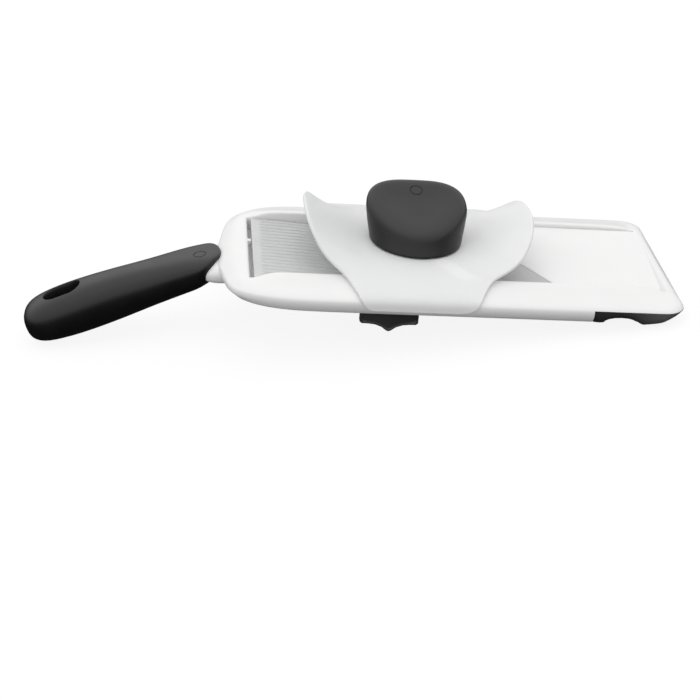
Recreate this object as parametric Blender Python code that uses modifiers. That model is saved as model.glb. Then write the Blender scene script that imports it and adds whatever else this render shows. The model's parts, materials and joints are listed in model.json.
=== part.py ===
"""Hand-held mandoline slicer with a rubber foot, a tilting ramp and a sliding food holder.

All sizes are in millimetres in the slicer's own frame: X runs from the handle to the foot,
Y is across, Z is up, and the ramp window starts at X = 0.  The whole slicer hangs on one
empty that tips it onto its foot and its handle end, as it stands on a table.
"""
import math

import bmesh
import bpy
from mathutils import Matrix, Vector

MM = 0.001
GAP = 0.32                      # clearance kept between neighbouring pieces

# Stance on a table
STANCE_TILT = math.radians(8.58)

# Body frame
HALF_WIDTH = 63.6
WINDOW_HALF = 40.25
END_X = 235.7
WINDOW_END_X = 227.0
CORNER_RADIUS = 13.0
RIDGE_Z = 4.0                   # top of each rail, at the window
EDGE_Z = -1.2                   # top of each rail, at its outer edge
WALL = 2.2
WALL_BOTTOM_Z = -9.0
SKIRT_BOTTOM_Z = -10.0

# Landing deck and blade: both edges run across at the same slant
SLANT = -0.583
DECK_X = 144.7                  # deck's front edge at Y = 0
BLADE_X = 106.7                 # cutting edge at Y = 0
DECK_TOP_Z = 1.65
DECK_BOTTOM_Z = -0.8
BLADE_TOP_Z = 0.2
BLADE_THICKNESS = 1.0
BLADE_TUCK = 14.6               # blade length under the deck
BLADE_HALF = 45.0
BLADE_BEVEL = 6.0

# Ramp and its hinge
HINGE_X = 6.4
HINGE_Z = -3.3
RAMP_START_X = 1.9
RAMP_TOP = 2.8                  # ramp's upper face above the hinge axis
RAMP_THICKNESS = 2.6
RAMP_HALF = 39.6
RAMP_LIP = 1.9                  # gap along the cutting edge
RAMP_REST = math.radians(3.3)
RAMP_SWING_DEG = 4.1            # how far the slider lifts it, from thickest to locked
RIB_COUNT = 18
RIB_PITCH = 4.3
RIB_HEIGHT = 0.6
RIB_START_X = 5.4
FOLLOWER_X = 60.0
NOSE_Z = -2.45                  # follower's tip below the hinge axis, in the ramp's own frame

# Thickness slider
SLIDE_TRAVEL = 27.0
WEDGE_HIGH_X = 33.0
WEDGE_LOW_Z = -9.15
WEDGE_HIGH_Z = -5.25
TAB_X = 74.5
TAB_LENGTH = 31.6
TAB_LOW_Z = -17.2
TAB_POINT_Z = -21.6
TAB_FACE_Y = -57.4

# Handle
HANDLE_DROOP = math.radians(22.7)
HANG_HOLE_AT = 80.5             # distance along the grip
HANG_HOLE_SIZE = (21.0, 13.5)

# End foot
FOOT_X = 184.0
FOOT_TOP_Z = -2.3
REST_X = 212.5                  # the level face that the foot stands on
REST_Z = -11.9
REST_LENGTH = 7.0

# Food holder
HOLDER_X = 92.5
PLATE = 2.0
PLATE_MID_Z = 7.2
KNOB_BASE_Z = 8.52
KNOB_RADIUS = 26.0
PRONG_COUNT = 8
PRONG_TIP_Z = 2.4


# ---------------------------------------------------------------- scene and materials
def clear_scene():
    for obj in list(bpy.data.objects):
        bpy.data.objects.remove(obj, do_unlink=True)
    for group in list(bpy.data.collections):
        bpy.data.collections.remove(group)


def new_collection(name):
    group = bpy.data.collections.new(name)
    bpy.context.scene.collection.children.link(group)
    return group


def new_material(name, colour, roughness, metallic=0.0):
    material = bpy.data.materials.new(name)
    material.use_nodes = True
    shader = material.node_tree.nodes["Principled BSDF"]
    shader.inputs["Base Color"].default_value = (*colour, 1.0)
    shader.inputs["Roughness"].default_value = roughness
    shader.inputs["Metallic"].default_value = metallic
    return material


clear_scene()
PARTS = new_collection("mandoline_slicer")
CUTTERS = new_collection("mandoline_cutters")
WHITE = new_material("white_plastic", (0.86, 0.86, 0.85), 0.35)
BLACK = new_material("black_rubber", (0.012, 0.012, 0.013), 0.55)
CLEAR = new_material("clear_plastic", (0.55, 0.56, 0.57), 0.25)
FROSTED = new_material("frosted_plastic", (0.78, 0.79, 0.79), 0.45)
STEEL = new_material("blade_steel", (0.60, 0.60, 0.61), 0.28, 1.0)

STANCE = bpy.data.objects.new("stance", None)
STANCE.rotation_euler = (0.0, STANCE_TILT, 0.0)
PARTS.objects.link(STANCE)


# ---------------------------------------------------------------- mesh helpers
def add_object(name, bm, material, origin=(0.0, 0.0, 0.0), group=None):
    """Turn a mesh given in millimetres into an object whose origin is at the given point."""
    bmesh.ops.recalc_face_normals(bm, faces=bm.faces)
    bm.transform(Matrix.Scale(MM, 4) @ Matrix.Translation(-Vector(origin)))
    mesh = bpy.data.meshes.new(name)
    bm.to_mesh(mesh)
    bm.free()
    obj = bpy.data.objects.new(name, mesh)
    obj.location = Vector(origin) * MM
    obj.parent = STANCE
    (group or PARTS).objects.link(obj)
    if material:
        mesh.materials.append(material)
    return obj


def shade(obj, angle=35.0):
    obj.data.shade_smooth()
    obj.data.set_sharp_from_angle(angle=math.radians(angle))
    return obj


def loft(rings, wrap=False):
    """Skin rings of equal length with triangles; the ends are capped unless the loft wraps."""
    bm = bmesh.new()
    loops = [[bm.verts.new(point) for point in ring] for ring in rings]
    count = len(rings[0])
    spans = len(rings) if wrap else len(rings) - 1
    for i in range(spans):
        first = loops[i]
        second = loops[(i + 1) % len(rings)]
        for j in range(count):
            k = (j + 1) % count
            bm.faces.new((first[j], first[k], second[k], second[j]))
    if not wrap:
        bm.faces.new(loops[0])
        bm.faces.new(loops[-1])
    bmesh.ops.triangulate(bm, faces=bm.faces)
    return bm


def prism(outline, low, high):
    """Upright prism over an outline of (x, y) points."""
    return loft([[(x, y, low) for x, y in outline], [(x, y, high) for x, y in outline]])


def side_prism(outline, low, high):
    """Prism across the slicer over an outline of (x, z) points."""
    return loft([[(x, low, z) for x, z in outline], [(x, high, z) for x, z in outline]])


def section_prism(outline, low, high):
    """Prism along the slicer over an outline of (y, z) points."""
    return loft([[(low, y, z) for y, z in outline], [(high, y, z) for y, z in outline]])


def block(x, y, z):
    """Box between three (low, high) pairs."""
    return prism([(x[0], y[0]), (x[1], y[0]), (x[1], y[1]), (x[0], y[1])], z[0], z[1])


def rod(centre, radius, low, high, axis="Z", sides=20):
    """Round bar along Z or Y."""
    bm = bmesh.new()
    bmesh.ops.create_cone(
        bm, cap_ends=True, segments=sides, radius1=radius, radius2=radius, depth=high - low,
        matrix=Matrix.Translation((0.0, 0.0, (low + high) / 2)),
    )
    if axis == "Y":
        bm.transform(Matrix.Rotation(math.radians(-90.0), 4, "X"))
    bm.transform(Matrix.Translation(centre))
    return bm


def turned(centre, profile, sides=16):
    """Upright turned piece from (radius, height) pairs."""
    return loft([
        [
            (centre[0] + radius * math.cos(2.0 * math.pi * step / sides),
             centre[1] + radius * math.sin(2.0 * math.pi * step / sides), z)
            for step in range(sides)
        ]
        for radius, z in profile
    ])


def boolean(obj, cutter, operation="DIFFERENCE"):
    cutter.hide_render = True
    cutter.display_type = "WIRE"
    modifier = obj.modifiers.new(cutter.name, "BOOLEAN")
    modifier.operation = operation
    modifier.solver = "EXACT"
    modifier.object = cutter
    return obj


def cut(obj, name, bm):
    return boolean(obj, add_object(name, bm, None, group=CUTTERS))


def join(obj, name, bm):
    return boolean(obj, add_object(name, bm, None, group=CUTTERS), "UNION")


def slanted(first, last, half):
    """Outline of a strip across the slicer whose ends in X follow the blade's slant."""
    return [
        (first - SLANT * half, -half), (last - SLANT * half, -half),
        (last + SLANT * half, half), (first + SLANT * half, half),
    ]


def smoothstep(low, high, value):
    t = min(max((value - low) / (high - low), 0.0), 1.0)
    return t * t * (3.0 - 2.0 * t)


# ---------------------------------------------------------------- body frame
# Each station pairs a point of the outer outline with a point of the window,
# then gives the heights of the outer edge and of the skirt's bottom.
SHOULDER = [
    ((-17.4, 0.0), (0.0, 0.0), -5.3, -15.8),
    ((-17.4, 8.0), (0.0, 7.5), -5.3, -15.8),
    ((-17.2, 12.5), (0.0, 12.0), -5.3, -15.6),
    ((-16.8, 16.0), (0.0, 16.0), -5.2, -15.2),
    ((-16.0, 20.0), (0.0, 20.0), -5.0, -14.0),
    ((-15.2, 25.0), (0.0, 25.0), -4.7, -12.0),
    ((-14.2, 32.0), (0.0, 31.0), -4.1, -10.4),
    ((-12.4, 41.0), (0.0, 36.0), -3.6, -10.0),
    ((-9.4, 47.6), (0.0, WINDOW_HALF), -3.2, -10.0),
    ((-4.8, 53.0), (3.5, WINDOW_HALF), -2.5, -10.0),
    ((1.5, 57.3), (7.0, WINDOW_HALF), -1.9, -10.0),
    ((9.0, 60.3), (11.0, WINDOW_HALF), -1.5, -10.0),
    ((18.0, 62.4), (17.0, WINDOW_HALF), -1.3, -10.0),
]
RAIL_STATIONS = [29.0, 60.0, 100.0, 140.0, 180.0, 210.0]
CORNER_STEPS = 6


def frame_stations():
    """Half of the frame's stations, from the neck's middle round to the end's middle."""
    stations = list(SHOULDER)
    for x in RAIL_STATIONS:
        stations.append(((x, HALF_WIDTH), (x, WINDOW_HALF), EDGE_Z, SKIRT_BOTTOM_Z))
    corner_x = END_X - CORNER_RADIUS
    corner_y = HALF_WIDTH - CORNER_RADIUS
    for step in range(CORNER_STEPS + 1):
        turn = math.radians(90.0 * step / CORNER_STEPS)
        outer = (corner_x + CORNER_RADIUS * math.sin(turn), corner_y + CORNER_RADIUS * math.cos(turn))
        half = CORNER_STEPS / 2
        inner_x = corner_x + (WINDOW_END_X - corner_x) * min(step / half, 1.0)
        inner_y = WINDOW_HALF - 5.0 * max(step / half - 1.0, 0.0)
        stations.append((outer, (inner_x, inner_y), EDGE_Z, SKIRT_BOTTOM_Z))
    stations.append(((END_X, 20.0), (WINDOW_END_X, 18.0), EDGE_Z, SKIRT_BOTTOM_Z))
    stations.append(((END_X, 0.0), (WINDOW_END_X, 0.0), EDGE_Z, SKIRT_BOTTOM_Z))
    return stations


def window_edge_height(point):
    """The ridge rises along the shoulder and sinks again into the end border."""
    x, y = point
    if x <= 0.0:
        return 0.0
    rise = RIDGE_Z * smoothstep(0.0, 14.0, x)
    return rise - (RIDGE_Z - DECK_TOP_Z - 0.2) * smoothstep(221.0, WINDOW_END_X, x)


def frame_section(outer, inner, edge_z, skirt_z, side):
    """Closed section of the hollow frame, listed from the side round over the top."""
    start = Vector((outer[0], outer[1] * side))
    reach = Vector((inner[0], inner[1] * side)) - start
    inward = reach.normalized()
    width = reach.length
    ridge_z = window_edge_height(inner)
    dome = 1.0 - smoothstep(-10.0, 14.0, outer[0])
    middle_z = edge_z + (ridge_z - edge_z) * (0.5 + 0.32 * dome)

    def at(inset, z):
        point = start + inward * inset
        return (point.x, point.y, z)

    under = WALL + 1.2
    return [
        at(0.0, edge_z - 3.6), at(0.3, edge_z - 1.8), at(1.2, edge_z - 0.6),
        at(3.0, edge_z + (ridge_z - edge_z) * 3.0 / width + 0.1),
        at(width / 2, middle_z), at(width - 0.9, ridge_z), at(width, ridge_z - 0.6),
        at(width, WALL_BOTTOM_Z), at(width - WALL, WALL_BOTTOM_Z),
        at(width - WALL, ridge_z - 0.7 - WALL), at(width / 2, middle_z - WALL),
        at(under, edge_z - WALL), at(WALL, edge_z - 3.8),
        at(5.6, skirt_z + 1.6), at(4.8, skirt_z), at(1.5, skirt_z + 1.6),
    ]


def handle_axis(distance):
    """Point on the grip's centre line, measured along it from the joint."""
    return Vector((
        -24.0 - distance * math.cos(HANDLE_DROOP), 0.0,
        -12.3 - distance * math.sin(HANDLE_DROOP),
    ))


def screw_hole(centre, low, high, radius=1.55):
    return rod((centre[0], centre[1], 0.0), radius, low, high, sides=16)


def blade_screw_places():
    return [(DECK_X + 18.5 + SLANT * y, y) for y in (-30.0, -10.0, 10.0, 30.0)]


FOOT_SCREWS = [(216.0, -26.0), (216.0, 26.0)]
DETENT_SCREW = (102.0, -51.0)
TANG_LENGTH = 62.0
HANDLE_SCREW_AT = 34.0


def make_body_frame():
    half = frame_stations()
    far = [frame_section(*station, 1.0) for station in half]
    near = [frame_section(*station, -1.0) for station in half[-2:0:-1]]
    body = add_object("body_frame", loft(far + near, wrap=True), WHITE)
    deck = prism([
        (DECK_X - SLANT * 41.2, -41.2), (WINDOW_END_X + 1.2, -41.2),
        (WINDOW_END_X + 1.2, 41.2), (DECK_X + SLANT * 41.2, 41.2),
    ], DECK_BOTTOM_Z, DECK_TOP_Z)
    join(body, "deck_slab", deck)
    join(body, "foot_pad_block", block((200.0, 228.2), (-41.0, 41.0), (-2.0, 0.4)))
    join(body, "neck_block", block((-22.6, -5.0), (-15.2, 15.2), (-16.4, -9.2)))
    join(body, "tang_block", tang(0.0))
    join(body, "hinge_trough", block((-1.0, 4.6), (-41.0, 41.0), (WALL_BOTTOM_Z, -7.7)))
    join(body, "hinge_lug", block((-1.0, 1.4), (8.4, 11.2), (-4.0, -0.4)))
    join(body, "guide_flange", block((24.0, 122.0), (-45.4, -41.0), (WALL_BOTTOM_Z, -7.2)))
    join(body, "spring_boss", block((97.0, 107.0), (-54.5, -47.5), (-2.9, 0.2)))
    cut(body, "grip_seat", grip_mesh(GAP))
    cut(body, "blade_slot", prism(
        slanted(BLADE_X - 0.8, DECK_X + BLADE_TUCK + GAP, BLADE_HALF + 0.4),
        BLADE_TOP_Z - BLADE_THICKNESS - GAP, BLADE_TOP_Z + GAP))
    cut(body, "foot_bay", block((FOOT_X - GAP, 250.0), (-70.0, 70.0), (-25.0, -2.0)))
    cut(body, "hinge_bore", rod((HINGE_X, 0.0, HINGE_Z), 1.3, -45.0, 45.0, axis="Y"))
    for index, place in enumerate(blade_screw_places(), 1):
        cut(body, f"blade_screw_hole_{index}", screw_hole(place, -6.0, 0.9))
    for index, place in enumerate(FOOT_SCREWS, 1):
        cut(body, f"foot_screw_hole_{index}", screw_hole(place, -6.0, 0.9))
    cut(body, "detent_screw_hole", screw_hole(DETENT_SCREW, -6.0, -0.6))
    cut(body, "handle_screw_hole", on_handle(rod((0, 0, 0), 1.55, -9.0, 2.6), HANDLE_SCREW_AT))
    return shade(body)


# ---------------------------------------------------------------- handle
def on_handle(bm, distance):
    """Move a mesh built about the Z axis so that it stands across the handle."""
    bm.transform(Matrix.Translation(handle_axis(distance)) @ Matrix.Rotation(-HANDLE_DROOP, 4, "Y"))
    return bm


def tang(gap):
    """Bar that carries the grip, widened by the given gap to make its socket."""
    bar = block((-TANG_LENGTH - gap, 14.0), (-8.0 - gap, 8.0 + gap), (-3.4 - gap, 3.4 + gap))
    return on_handle(bar, 0.0)


GRIP_STATIONS = [
    # distance along the grip, half width, half height
    (3.0, 16.8, 8.6), (10.0, 16.9, 9.4), (22.0, 16.4, 10.6), (46.0, 16.3, 12.7),
    (68.0, 17.3, 13.6), (86.0, 17.9, 13.0), (95.0, 17.2, 12.0),
    (100.8, 14.9, 10.6), (104.2, 11.0, 8.0), (106.0, 5.6, 4.0),
]
GRIP_SIDES = 24
GRIP_BOW = 7.6                  # the grip's front end bows forward at its middle
GRIP_FRONT = Vector((-23.2, 0.0, -10.1))


def grip_section(centre, up, half_width, half_height, bulge, square, share=1.0):
    """Rounded section, or a share of it; the bulge bows it forward at the middle.

    The upper face is flatter than the underside, and both turn squarer towards the body.
    """
    ring = []
    for step in range(GRIP_SIDES):
        turn = 2.0 * math.pi * step / GRIP_SIDES
        across = share * math.copysign(abs(math.cos(turn)) ** (0.82 - 0.22 * square), math.cos(turn))
        fullness = 0.80 - 0.20 * square if math.sin(turn) > 0.0 else 0.98 - 0.30 * square
        upward = share * math.copysign(abs(math.sin(turn)) ** fullness, math.sin(turn))
        point = centre + up * half_height * upward
        bow = bulge * (1.0 - across * across)
        ring.append((point.x + bow, half_width * across, point.z))
    return ring


def grip_mesh(grow):
    """The grip, grown by a margin when it cuts its own seat in the body."""
    up = Vector((-math.sin(HANDLE_DROOP), 0.0, math.cos(HANDLE_DROOP)))
    front_up = Vector((0.08, 0.0, 0.997))
    front = GRIP_FRONT + Vector((grow, 0.0, 0.0))
    rings = [
        grip_section(front, front_up, 15.9 + grow, 6.7 + grow, GRIP_BOW, 1.0, share)
        for share in (0.3, 0.65, 1.0)
    ]
    for distance, half_width, half_height in GRIP_STATIONS:
        lean = front_up.lerp(up, min(distance / 22.0, 1.0)).normalized()
        rings.append(grip_section(
            handle_axis(distance), lean, half_width + grow, half_height + grow,
            GRIP_BOW * max(0.0, 0.5 - distance / 20.0), max(0.0, 1.0 - distance / 30.0)))
    return loft(rings)


def hang_hole():
    """Slot with round ends through the grip."""
    length, width = HANG_HOLE_SIZE
    straight = (length - width) / 2
    outline = []
    for step in range(24):
        turn = 2.0 * math.pi * step / 24
        shift = math.copysign(straight, math.cos(turn))
        outline.append((shift + width / 2 * math.cos(turn), width / 2 * math.sin(turn)))
    bm = prism(outline, -30.0, 30.0)
    return on_handle(bm, HANG_HOLE_AT)


def make_handle():
    grip = add_object("handle_grip", grip_mesh(0.0), BLACK, origin=handle_axis(0.0))
    cut(grip, "tang_socket", tang(GAP))
    cut(grip, "hang_hole", hang_hole())
    cut(grip, "grip_screw_bore", on_handle(rod((0, 0, 0), 1.7, -20.0, 0.0), HANDLE_SCREW_AT))
    cut(grip, "grip_head_bore", on_handle(rod((0, 0, 0), 3.2, -20.0, -6.5), HANDLE_SCREW_AT))
    shade(grip)
    profile = [(2.1, -8.6), (2.6, -8.0), (2.6, -6.85), (1.2, -6.85), (1.2, 1.4), (0.5, 2.2)]
    screw = on_handle(turned((0.0, 0.0), profile), HANDLE_SCREW_AT)
    shade(add_object("handle_screw", screw, STEEL, origin=handle_axis(HANDLE_SCREW_AT)))


# ---------------------------------------------------------------- blade
def make_blade():
    low = BLADE_TOP_Z - BLADE_THICKNESS
    back = DECK_X + BLADE_TUCK
    rings = []
    for y in (-BLADE_HALF, BLADE_HALF):
        shift = SLANT * y
        rings.append([
            (BLADE_X + shift, y, BLADE_TOP_Z - 0.12), (BLADE_X + 0.1 + shift, y, BLADE_TOP_Z),
            (back + shift, y, BLADE_TOP_Z), (back + shift, y, low),
            (BLADE_X + BLADE_BEVEL + shift, y, low),
        ])
    add_object("blade", loft(rings), STEEL, origin=(BLADE_X, 0.0, BLADE_TOP_Z))
    top = low - GAP
    clamp = add_object(
        "blade_clamp", prism(slanted(DECK_X + 1.0, DECK_X + 23.0, 39.6), top - 2.0, top), WHITE,
        origin=(DECK_X, 0.0, top))
    for index, place in enumerate(blade_screw_places(), 1):
        cut(clamp, f"clamp_hole_{index}", screw_hole(place, -8.0, 2.0))
        make_screw(f"blade_screw_{index}", place, top - 2.0 - GAP, 0.6)


def make_screw(name, place, seat_z, tip_z, head_height=1.6):
    """Upright screw whose head hangs below its seat."""
    profile = [
        (2.1, seat_z - head_height), (2.6, seat_z - 0.6 * head_height), (2.6, seat_z),
        (1.2, seat_z), (1.2, tip_z - 0.8), (0.5, tip_z),
    ]
    shade(add_object(name, turned(place, profile), STEEL, origin=(place[0], place[1], seat_z)))


# ---------------------------------------------------------------- ramp
def ramp_cutter(name, bm):
    """Piece that rides with the ramp, in the ramp's own frame."""
    return add_object(name, bm, None, group=CUTTERS)


def rib_row(length):
    """One rib along the ramp, repeated across it."""
    low = RAMP_TOP - 0.5
    first = -(RIB_COUNT - 1) / 2 * RIB_PITCH
    section = [(first - 1.3, low), (first + 1.3, low), (first + 0.5, RAMP_TOP + RIB_HEIGHT),
               (first - 0.5, RAMP_TOP + RIB_HEIGHT)]
    start = RIB_START_X - HINGE_X
    ribs = ramp_cutter("ramp_ribs", section_prism(section, start, start + length))
    array = ribs.modifiers.new("across", "ARRAY")
    array.count = RIB_COUNT
    array.use_relative_offset = False
    array.use_constant_offset = True
    array.constant_offset_displace = (0.0, RIB_PITCH * MM, 0.0)
    return ribs


def make_ramp():
    start = RAMP_START_X - HINGE_X
    edge = BLADE_X - RAMP_LIP - HINGE_X
    slab = block((start, 140.0), (-RAMP_HALF, RAMP_HALF), (RAMP_TOP - RAMP_THICKNESS, RAMP_TOP))
    ramp = add_object("ramp", slab, CLEAR)
    ramp.location = Vector((HINGE_X, 0.0, HINGE_Z)) * MM
    barrel = rod((0, 0, 0), 2.3, -RAMP_HALF + 0.5, RAMP_HALF - 0.5, axis="Y")
    nose_x = FOLLOWER_X - HINGE_X
    nose = [(nose_x - 3.0, 0.9), (nose_x - 2.0, -1.8), (nose_x - 0.7, NOSE_Z),
            (nose_x + 0.7, NOSE_Z), (nose_x + 2.0, -1.8), (nose_x + 3.0, 0.9)]
    added = [
        rib_row(150.0),
        ramp_cutter("hinge_barrel", barrel),
        ramp_cutter("ramp_follower", side_prism(nose, -38.0, -31.0)),
        ramp_cutter("ramp_stiffener", block((8.0, 62.0), (-1.2, 1.2), (-2.0, 0.9))),
    ]
    removed = [
        ramp_cutter("ramp_edge_trim", prism(slanted(edge, edge + 100.0, 60.0), -10.0, 10.0)),
        ramp_cutter("barrel_bore", rod((0, 0, 0), 1.35, -42.0, 42.0, axis="Y")),
    ]
    for piece in added:
        boolean(ramp, piece, "UNION")
    for piece in removed:
        boolean(ramp, piece)
    for piece in added + removed:
        piece.parent = ramp
    ramp.rotation_euler = (0.0, RAMP_REST, 0.0)
    pin = rod((HINGE_X, 0.0, HINGE_Z), 1.0, -44.0, 44.0, axis="Y", sides=16)
    shade(add_object("ramp_hinge_pin", pin, STEEL, origin=(HINGE_X, 0.0, HINGE_Z)))


# ---------------------------------------------------------------- thickness slider
def tab_outline(inset):
    """Front view of the tab: a bar with a short pointer below its middle."""
    left = TAB_X - TAB_LENGTH / 2 + inset
    right = TAB_X + TAB_LENGTH / 2 - inset
    top = SKIRT_BOTTOM_Z - 0.6 - 0.3 * inset
    low = TAB_LOW_Z + inset
    point = TAB_POINT_Z + 1.3 * inset
    return [
        (left, top), (left, low + 0.8), (left + 0.9, low), (TAB_X - 8.0, low - 0.4),
        (TAB_X - 4.0, low - 1.8), (TAB_X - 1.3, point + 0.3), (TAB_X + 1.3, point + 0.3),
        (TAB_X + 4.0, low - 1.8), (TAB_X + 8.0, low - 0.4), (right - 0.9, low), (right, low + 0.8),
        (right, top),
    ]


def make_slider():
    base_top = WALL_BOTTOM_Z - GAP - 0.03
    base_low = base_top - 3.0
    tab_left = TAB_X - TAB_LENGTH / 2
    base = block((31.0, tab_left + TAB_LENGTH), (-52.2, -31.0), (base_low, base_top))
    bar = add_object("wedge_bar", base, WHITE, origin=(TAB_X, -46.0, base_top))
    wedge = [
        (31.0, base_top - 0.5), (31.0, WEDGE_HIGH_Z), (WEDGE_HIGH_X, WEDGE_HIGH_Z),
        (WEDGE_HIGH_X + SLIDE_TRAVEL, WEDGE_LOW_Z), (68.0, WEDGE_LOW_Z), (68.0, base_top - 0.5),
    ]
    join(bar, "wedge_incline", side_prism(wedge, -39.7, -31.0))
    hook = [
        (-48.4, base_top - 1.0), (-45.8, base_top - 1.0), (-45.8, -6.8), (-43.0, -6.8),
        (-43.0, -4.9), (-48.4, -4.9),
    ]
    join(bar, "guide_hook", section_prism(hook, 44.0, 88.0))
    cut(bar, "tab_screw_hole", screw_hole((TAB_X, -48.5), -20.0, -6.0))
    tab = add_object(
        "thickness_tab", side_prism(tab_outline(0.0), TAB_FACE_Y, -52.2 - GAP), BLACK,
        origin=(TAB_X, TAB_FACE_Y, -14.0))
    flange = block((TAB_X - 9.0, TAB_X + 9.0), (-53.5, -45.0), (base_low - GAP - 2.4, base_low - GAP))
    join(tab, "tab_flange", flange)
    recess = side_prism(tab_outline(1.4), TAB_FACE_Y - 1.0, TAB_FACE_Y + 0.6)
    cut(tab, "tab_recess", recess)
    cut(tab, "flange_hole", screw_hole((TAB_X, -48.5), -20.0, base_low))
    make_screw("tab_screw", (TAB_X, -48.5), base_low - 2.4 - 2 * GAP, -9.0)


def make_detent():
    strip = [
        (62.0, -50.2), (69.0, -50.2), (71.0, -49.3), (73.0, -50.2), (99.0, -50.2),
        (99.0, -49.7), (72.8, -49.7), (71.0, -48.75), (69.2, -49.7), (62.0, -49.7),
    ]
    spring = add_object(
        "detent_spring", prism(strip, -7.4, -3.3), STEEL, origin=(DETENT_SCREW[0], -50.0, -3.3))
    join(spring, "spring_foot", block((97.5, 106.5), (-54.0, -48.0), (-3.7, -3.25)))
    cut(spring, "spring_foot_hole", screw_hole(DETENT_SCREW, -6.0, 0.0))
    make_screw("detent_screw", DETENT_SCREW, -3.7 - GAP, -0.9, head_height=1.3)


# ---------------------------------------------------------------- end foot
def foot_profile():
    """Side view of the foot: a block, a hollow for a bowl's rim, and the lobe it stands on."""
    rise = REST_LENGTH * math.tan(STANCE_TILT)
    hollow_x = 199.5
    hollow = [
        (hollow_x + 9.5 * math.sin(math.radians(turn)), -11.6 + 4.0 * math.cos(math.radians(turn)))
        for turn in (-90, -60, -30, 0, 30, 60)
    ]
    return (
        [(FOOT_X, FOOT_TOP_Z), (FOOT_X, -11.0), (187.5, -11.4)] + hollow +
        [(211.0, -11.0), (REST_X, REST_Z), (REST_X + REST_LENGTH, REST_Z + rise),
         (224.0, -9.5), (228.5, -7.4), (232.5, -4.6), (END_X - 0.4, FOOT_TOP_Z)]
    )


def make_foot():
    foot = add_object(
        "end_foot", side_prism(foot_profile(), -70.0, 70.0), BLACK, origin=(216.0, 0.0, FOOT_TOP_Z))
    corner_x = END_X - CORNER_RADIUS
    corner_y = HALF_WIDTH - CORNER_RADIUS
    rings = []
    for inset, z in ((0.35, 0.0), (0.35, -5.2), (1.6, -8.2), (4.6, -12.5)):
        radius = CORNER_RADIUS - inset
        ring = [(FOOT_X - 1.0, HALF_WIDTH - inset)]
        for step in range(7):
            turn = math.radians(15.0 * step)
            ring.append((corner_x + radius * math.sin(turn), corner_y + radius * math.cos(turn)))
        ring += [(x, -y) for x, y in reversed(ring)]
        rings.append([(x, y, z) for x, y in ring])
    outline = add_object("foot_outline", loft(rings), None, group=CUTTERS)
    boolean(foot, outline, "INTERSECT")
    cut(foot, "foot_mouth", block((FOOT_X - 3.0, 200.5), (-43.0, 43.0), (-20.0, 0.0)))
    for index, place in enumerate(FOOT_SCREWS, 1):
        cut(foot, f"foot_bore_{index}", screw_hole(place, -20.0, 0.0))
        cut(foot, f"foot_head_bore_{index}", screw_hole(place, -20.0, -5.6, radius=3.2))
        make_screw(f"foot_screw_{index}", place, -5.6 - GAP, 0.6, head_height=1.8)
    shade(foot)


# ---------------------------------------------------------------- food holder
HOLDER_ROWS = [
    # y, height of the plate's middle, left end, right end, lift of the wings' tips
    (-65.05, -5.6, 65.2, 105.0, 0.0), (-65.05, -4.4, 63.8, 114.5, 0.0), (-65.05, -2.6, 61.5, 118.3, 0.0),
    (-64.4, -0.7, 59.2, 120.2, 0.0), (-62.8, 0.6, 57.6, 122.0, 0.0), (-60.0, 1.5, 56.3, 123.2, 0.0),
    (-56.0, 2.4, 54.8, 124.8, 0.0), (-51.0, 3.5, 52.6, 127.2, 0.3), (-46.5, 4.5, 50.2, 129.8, 1.1),
    (-43.0, 5.15, 46.6, 135.8, 2.6), (-40.0, 5.7, 41.9, 141.9, 4.7), (-36.0, 6.3, 37.8, 147.2, 8.0),
    (-32.0, 6.8, 34.9, 150.1, 11.2), (-27.0, 7.2, 32.6, 152.4, 14.4), (-20.0, 7.2, 30.6, 154.4, 17.6),
    (-10.0, 7.2, 29.3, 155.7, 19.9), (0.0, 7.2, 29.0, 156.0, 20.6), (10.0, 7.2, 29.3, 155.7, 19.9),
    (20.0, 7.2, 30.6, 154.6, 18.2), (27.0, 7.2, 32.2, 153.2, 15.6), (32.0, 6.8, 34.3, 150.9, 12.5),
    (36.0, 6.3, 36.5, 148.5, 9.3), (40.0, 5.7, 39.1, 145.6, 5.8), (43.0, 5.2, 41.2, 143.4, 3.9),
    (46.5, 4.6, 43.1, 141.6, 2.5), (51.0, 3.7, 44.7, 140.2, 1.4), (56.0, 2.7, 45.9, 139.1, 0.6),
    (60.0, 1.7, 47.1, 137.9, 0.2), (62.8, 0.6, 48.3, 136.7, 0.0), (64.4, -0.7, 50.0, 135.0, 0.0),
    (65.05, -2.6, 52.5, 132.5, 0.0), (65.05, -4.4, 57.0, 128.0, 0.0), (65.05, -5.6, 64.5, 120.5, 0.0),
]
HOLDER_STEPS = 16
WING_START = 0.45               # share of the way to the wing's tip where it starts to rise


def wing_curve(t):
    """Share of the wing's lift at a share t of the way out to its tip."""
    return (max(t - WING_START, 0.0) / (1.0 - WING_START)) ** 1.7


def make_holder_shell():
    bm = bmesh.new()
    grid = []
    for y, z, left, right, lift in HOLDER_ROWS:
        line = []
        for step in range(HOLDER_STEPS + 1):
            t = step / HOLDER_STEPS
            x = left + (right - left) * t
            line.append(bm.verts.new((x, y, z + lift * wing_curve(abs(2.0 * t - 1.0)))))
        grid.append(line)
    for near, far in zip(grid, grid[1:]):
        for step in range(HOLDER_STEPS):
            bm.faces.new((near[step], near[step + 1], far[step + 1], far[step]))
    shell = add_object("holder_shell", bm, FROSTED, origin=(HOLDER_X, 0.0, PLATE_MID_Z))
    solid = shell.modifiers.new("thickness", "SOLIDIFY")
    solid.thickness = PLATE * MM
    solid.offset = 0.0
    solid.use_even_offset = True
    for index, place in enumerate(prong_places(), 1):
        cut(shell, f"prong_hole_{index}", screw_hole(place, -2.0, 12.0, radius=1.35))
    for index, place in enumerate(holder_screw_places(), 1):
        cut(shell, f"holder_screw_hole_{index}", screw_hole(place, -2.0, 12.0))
    return shade(shell, 50.0)


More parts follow.
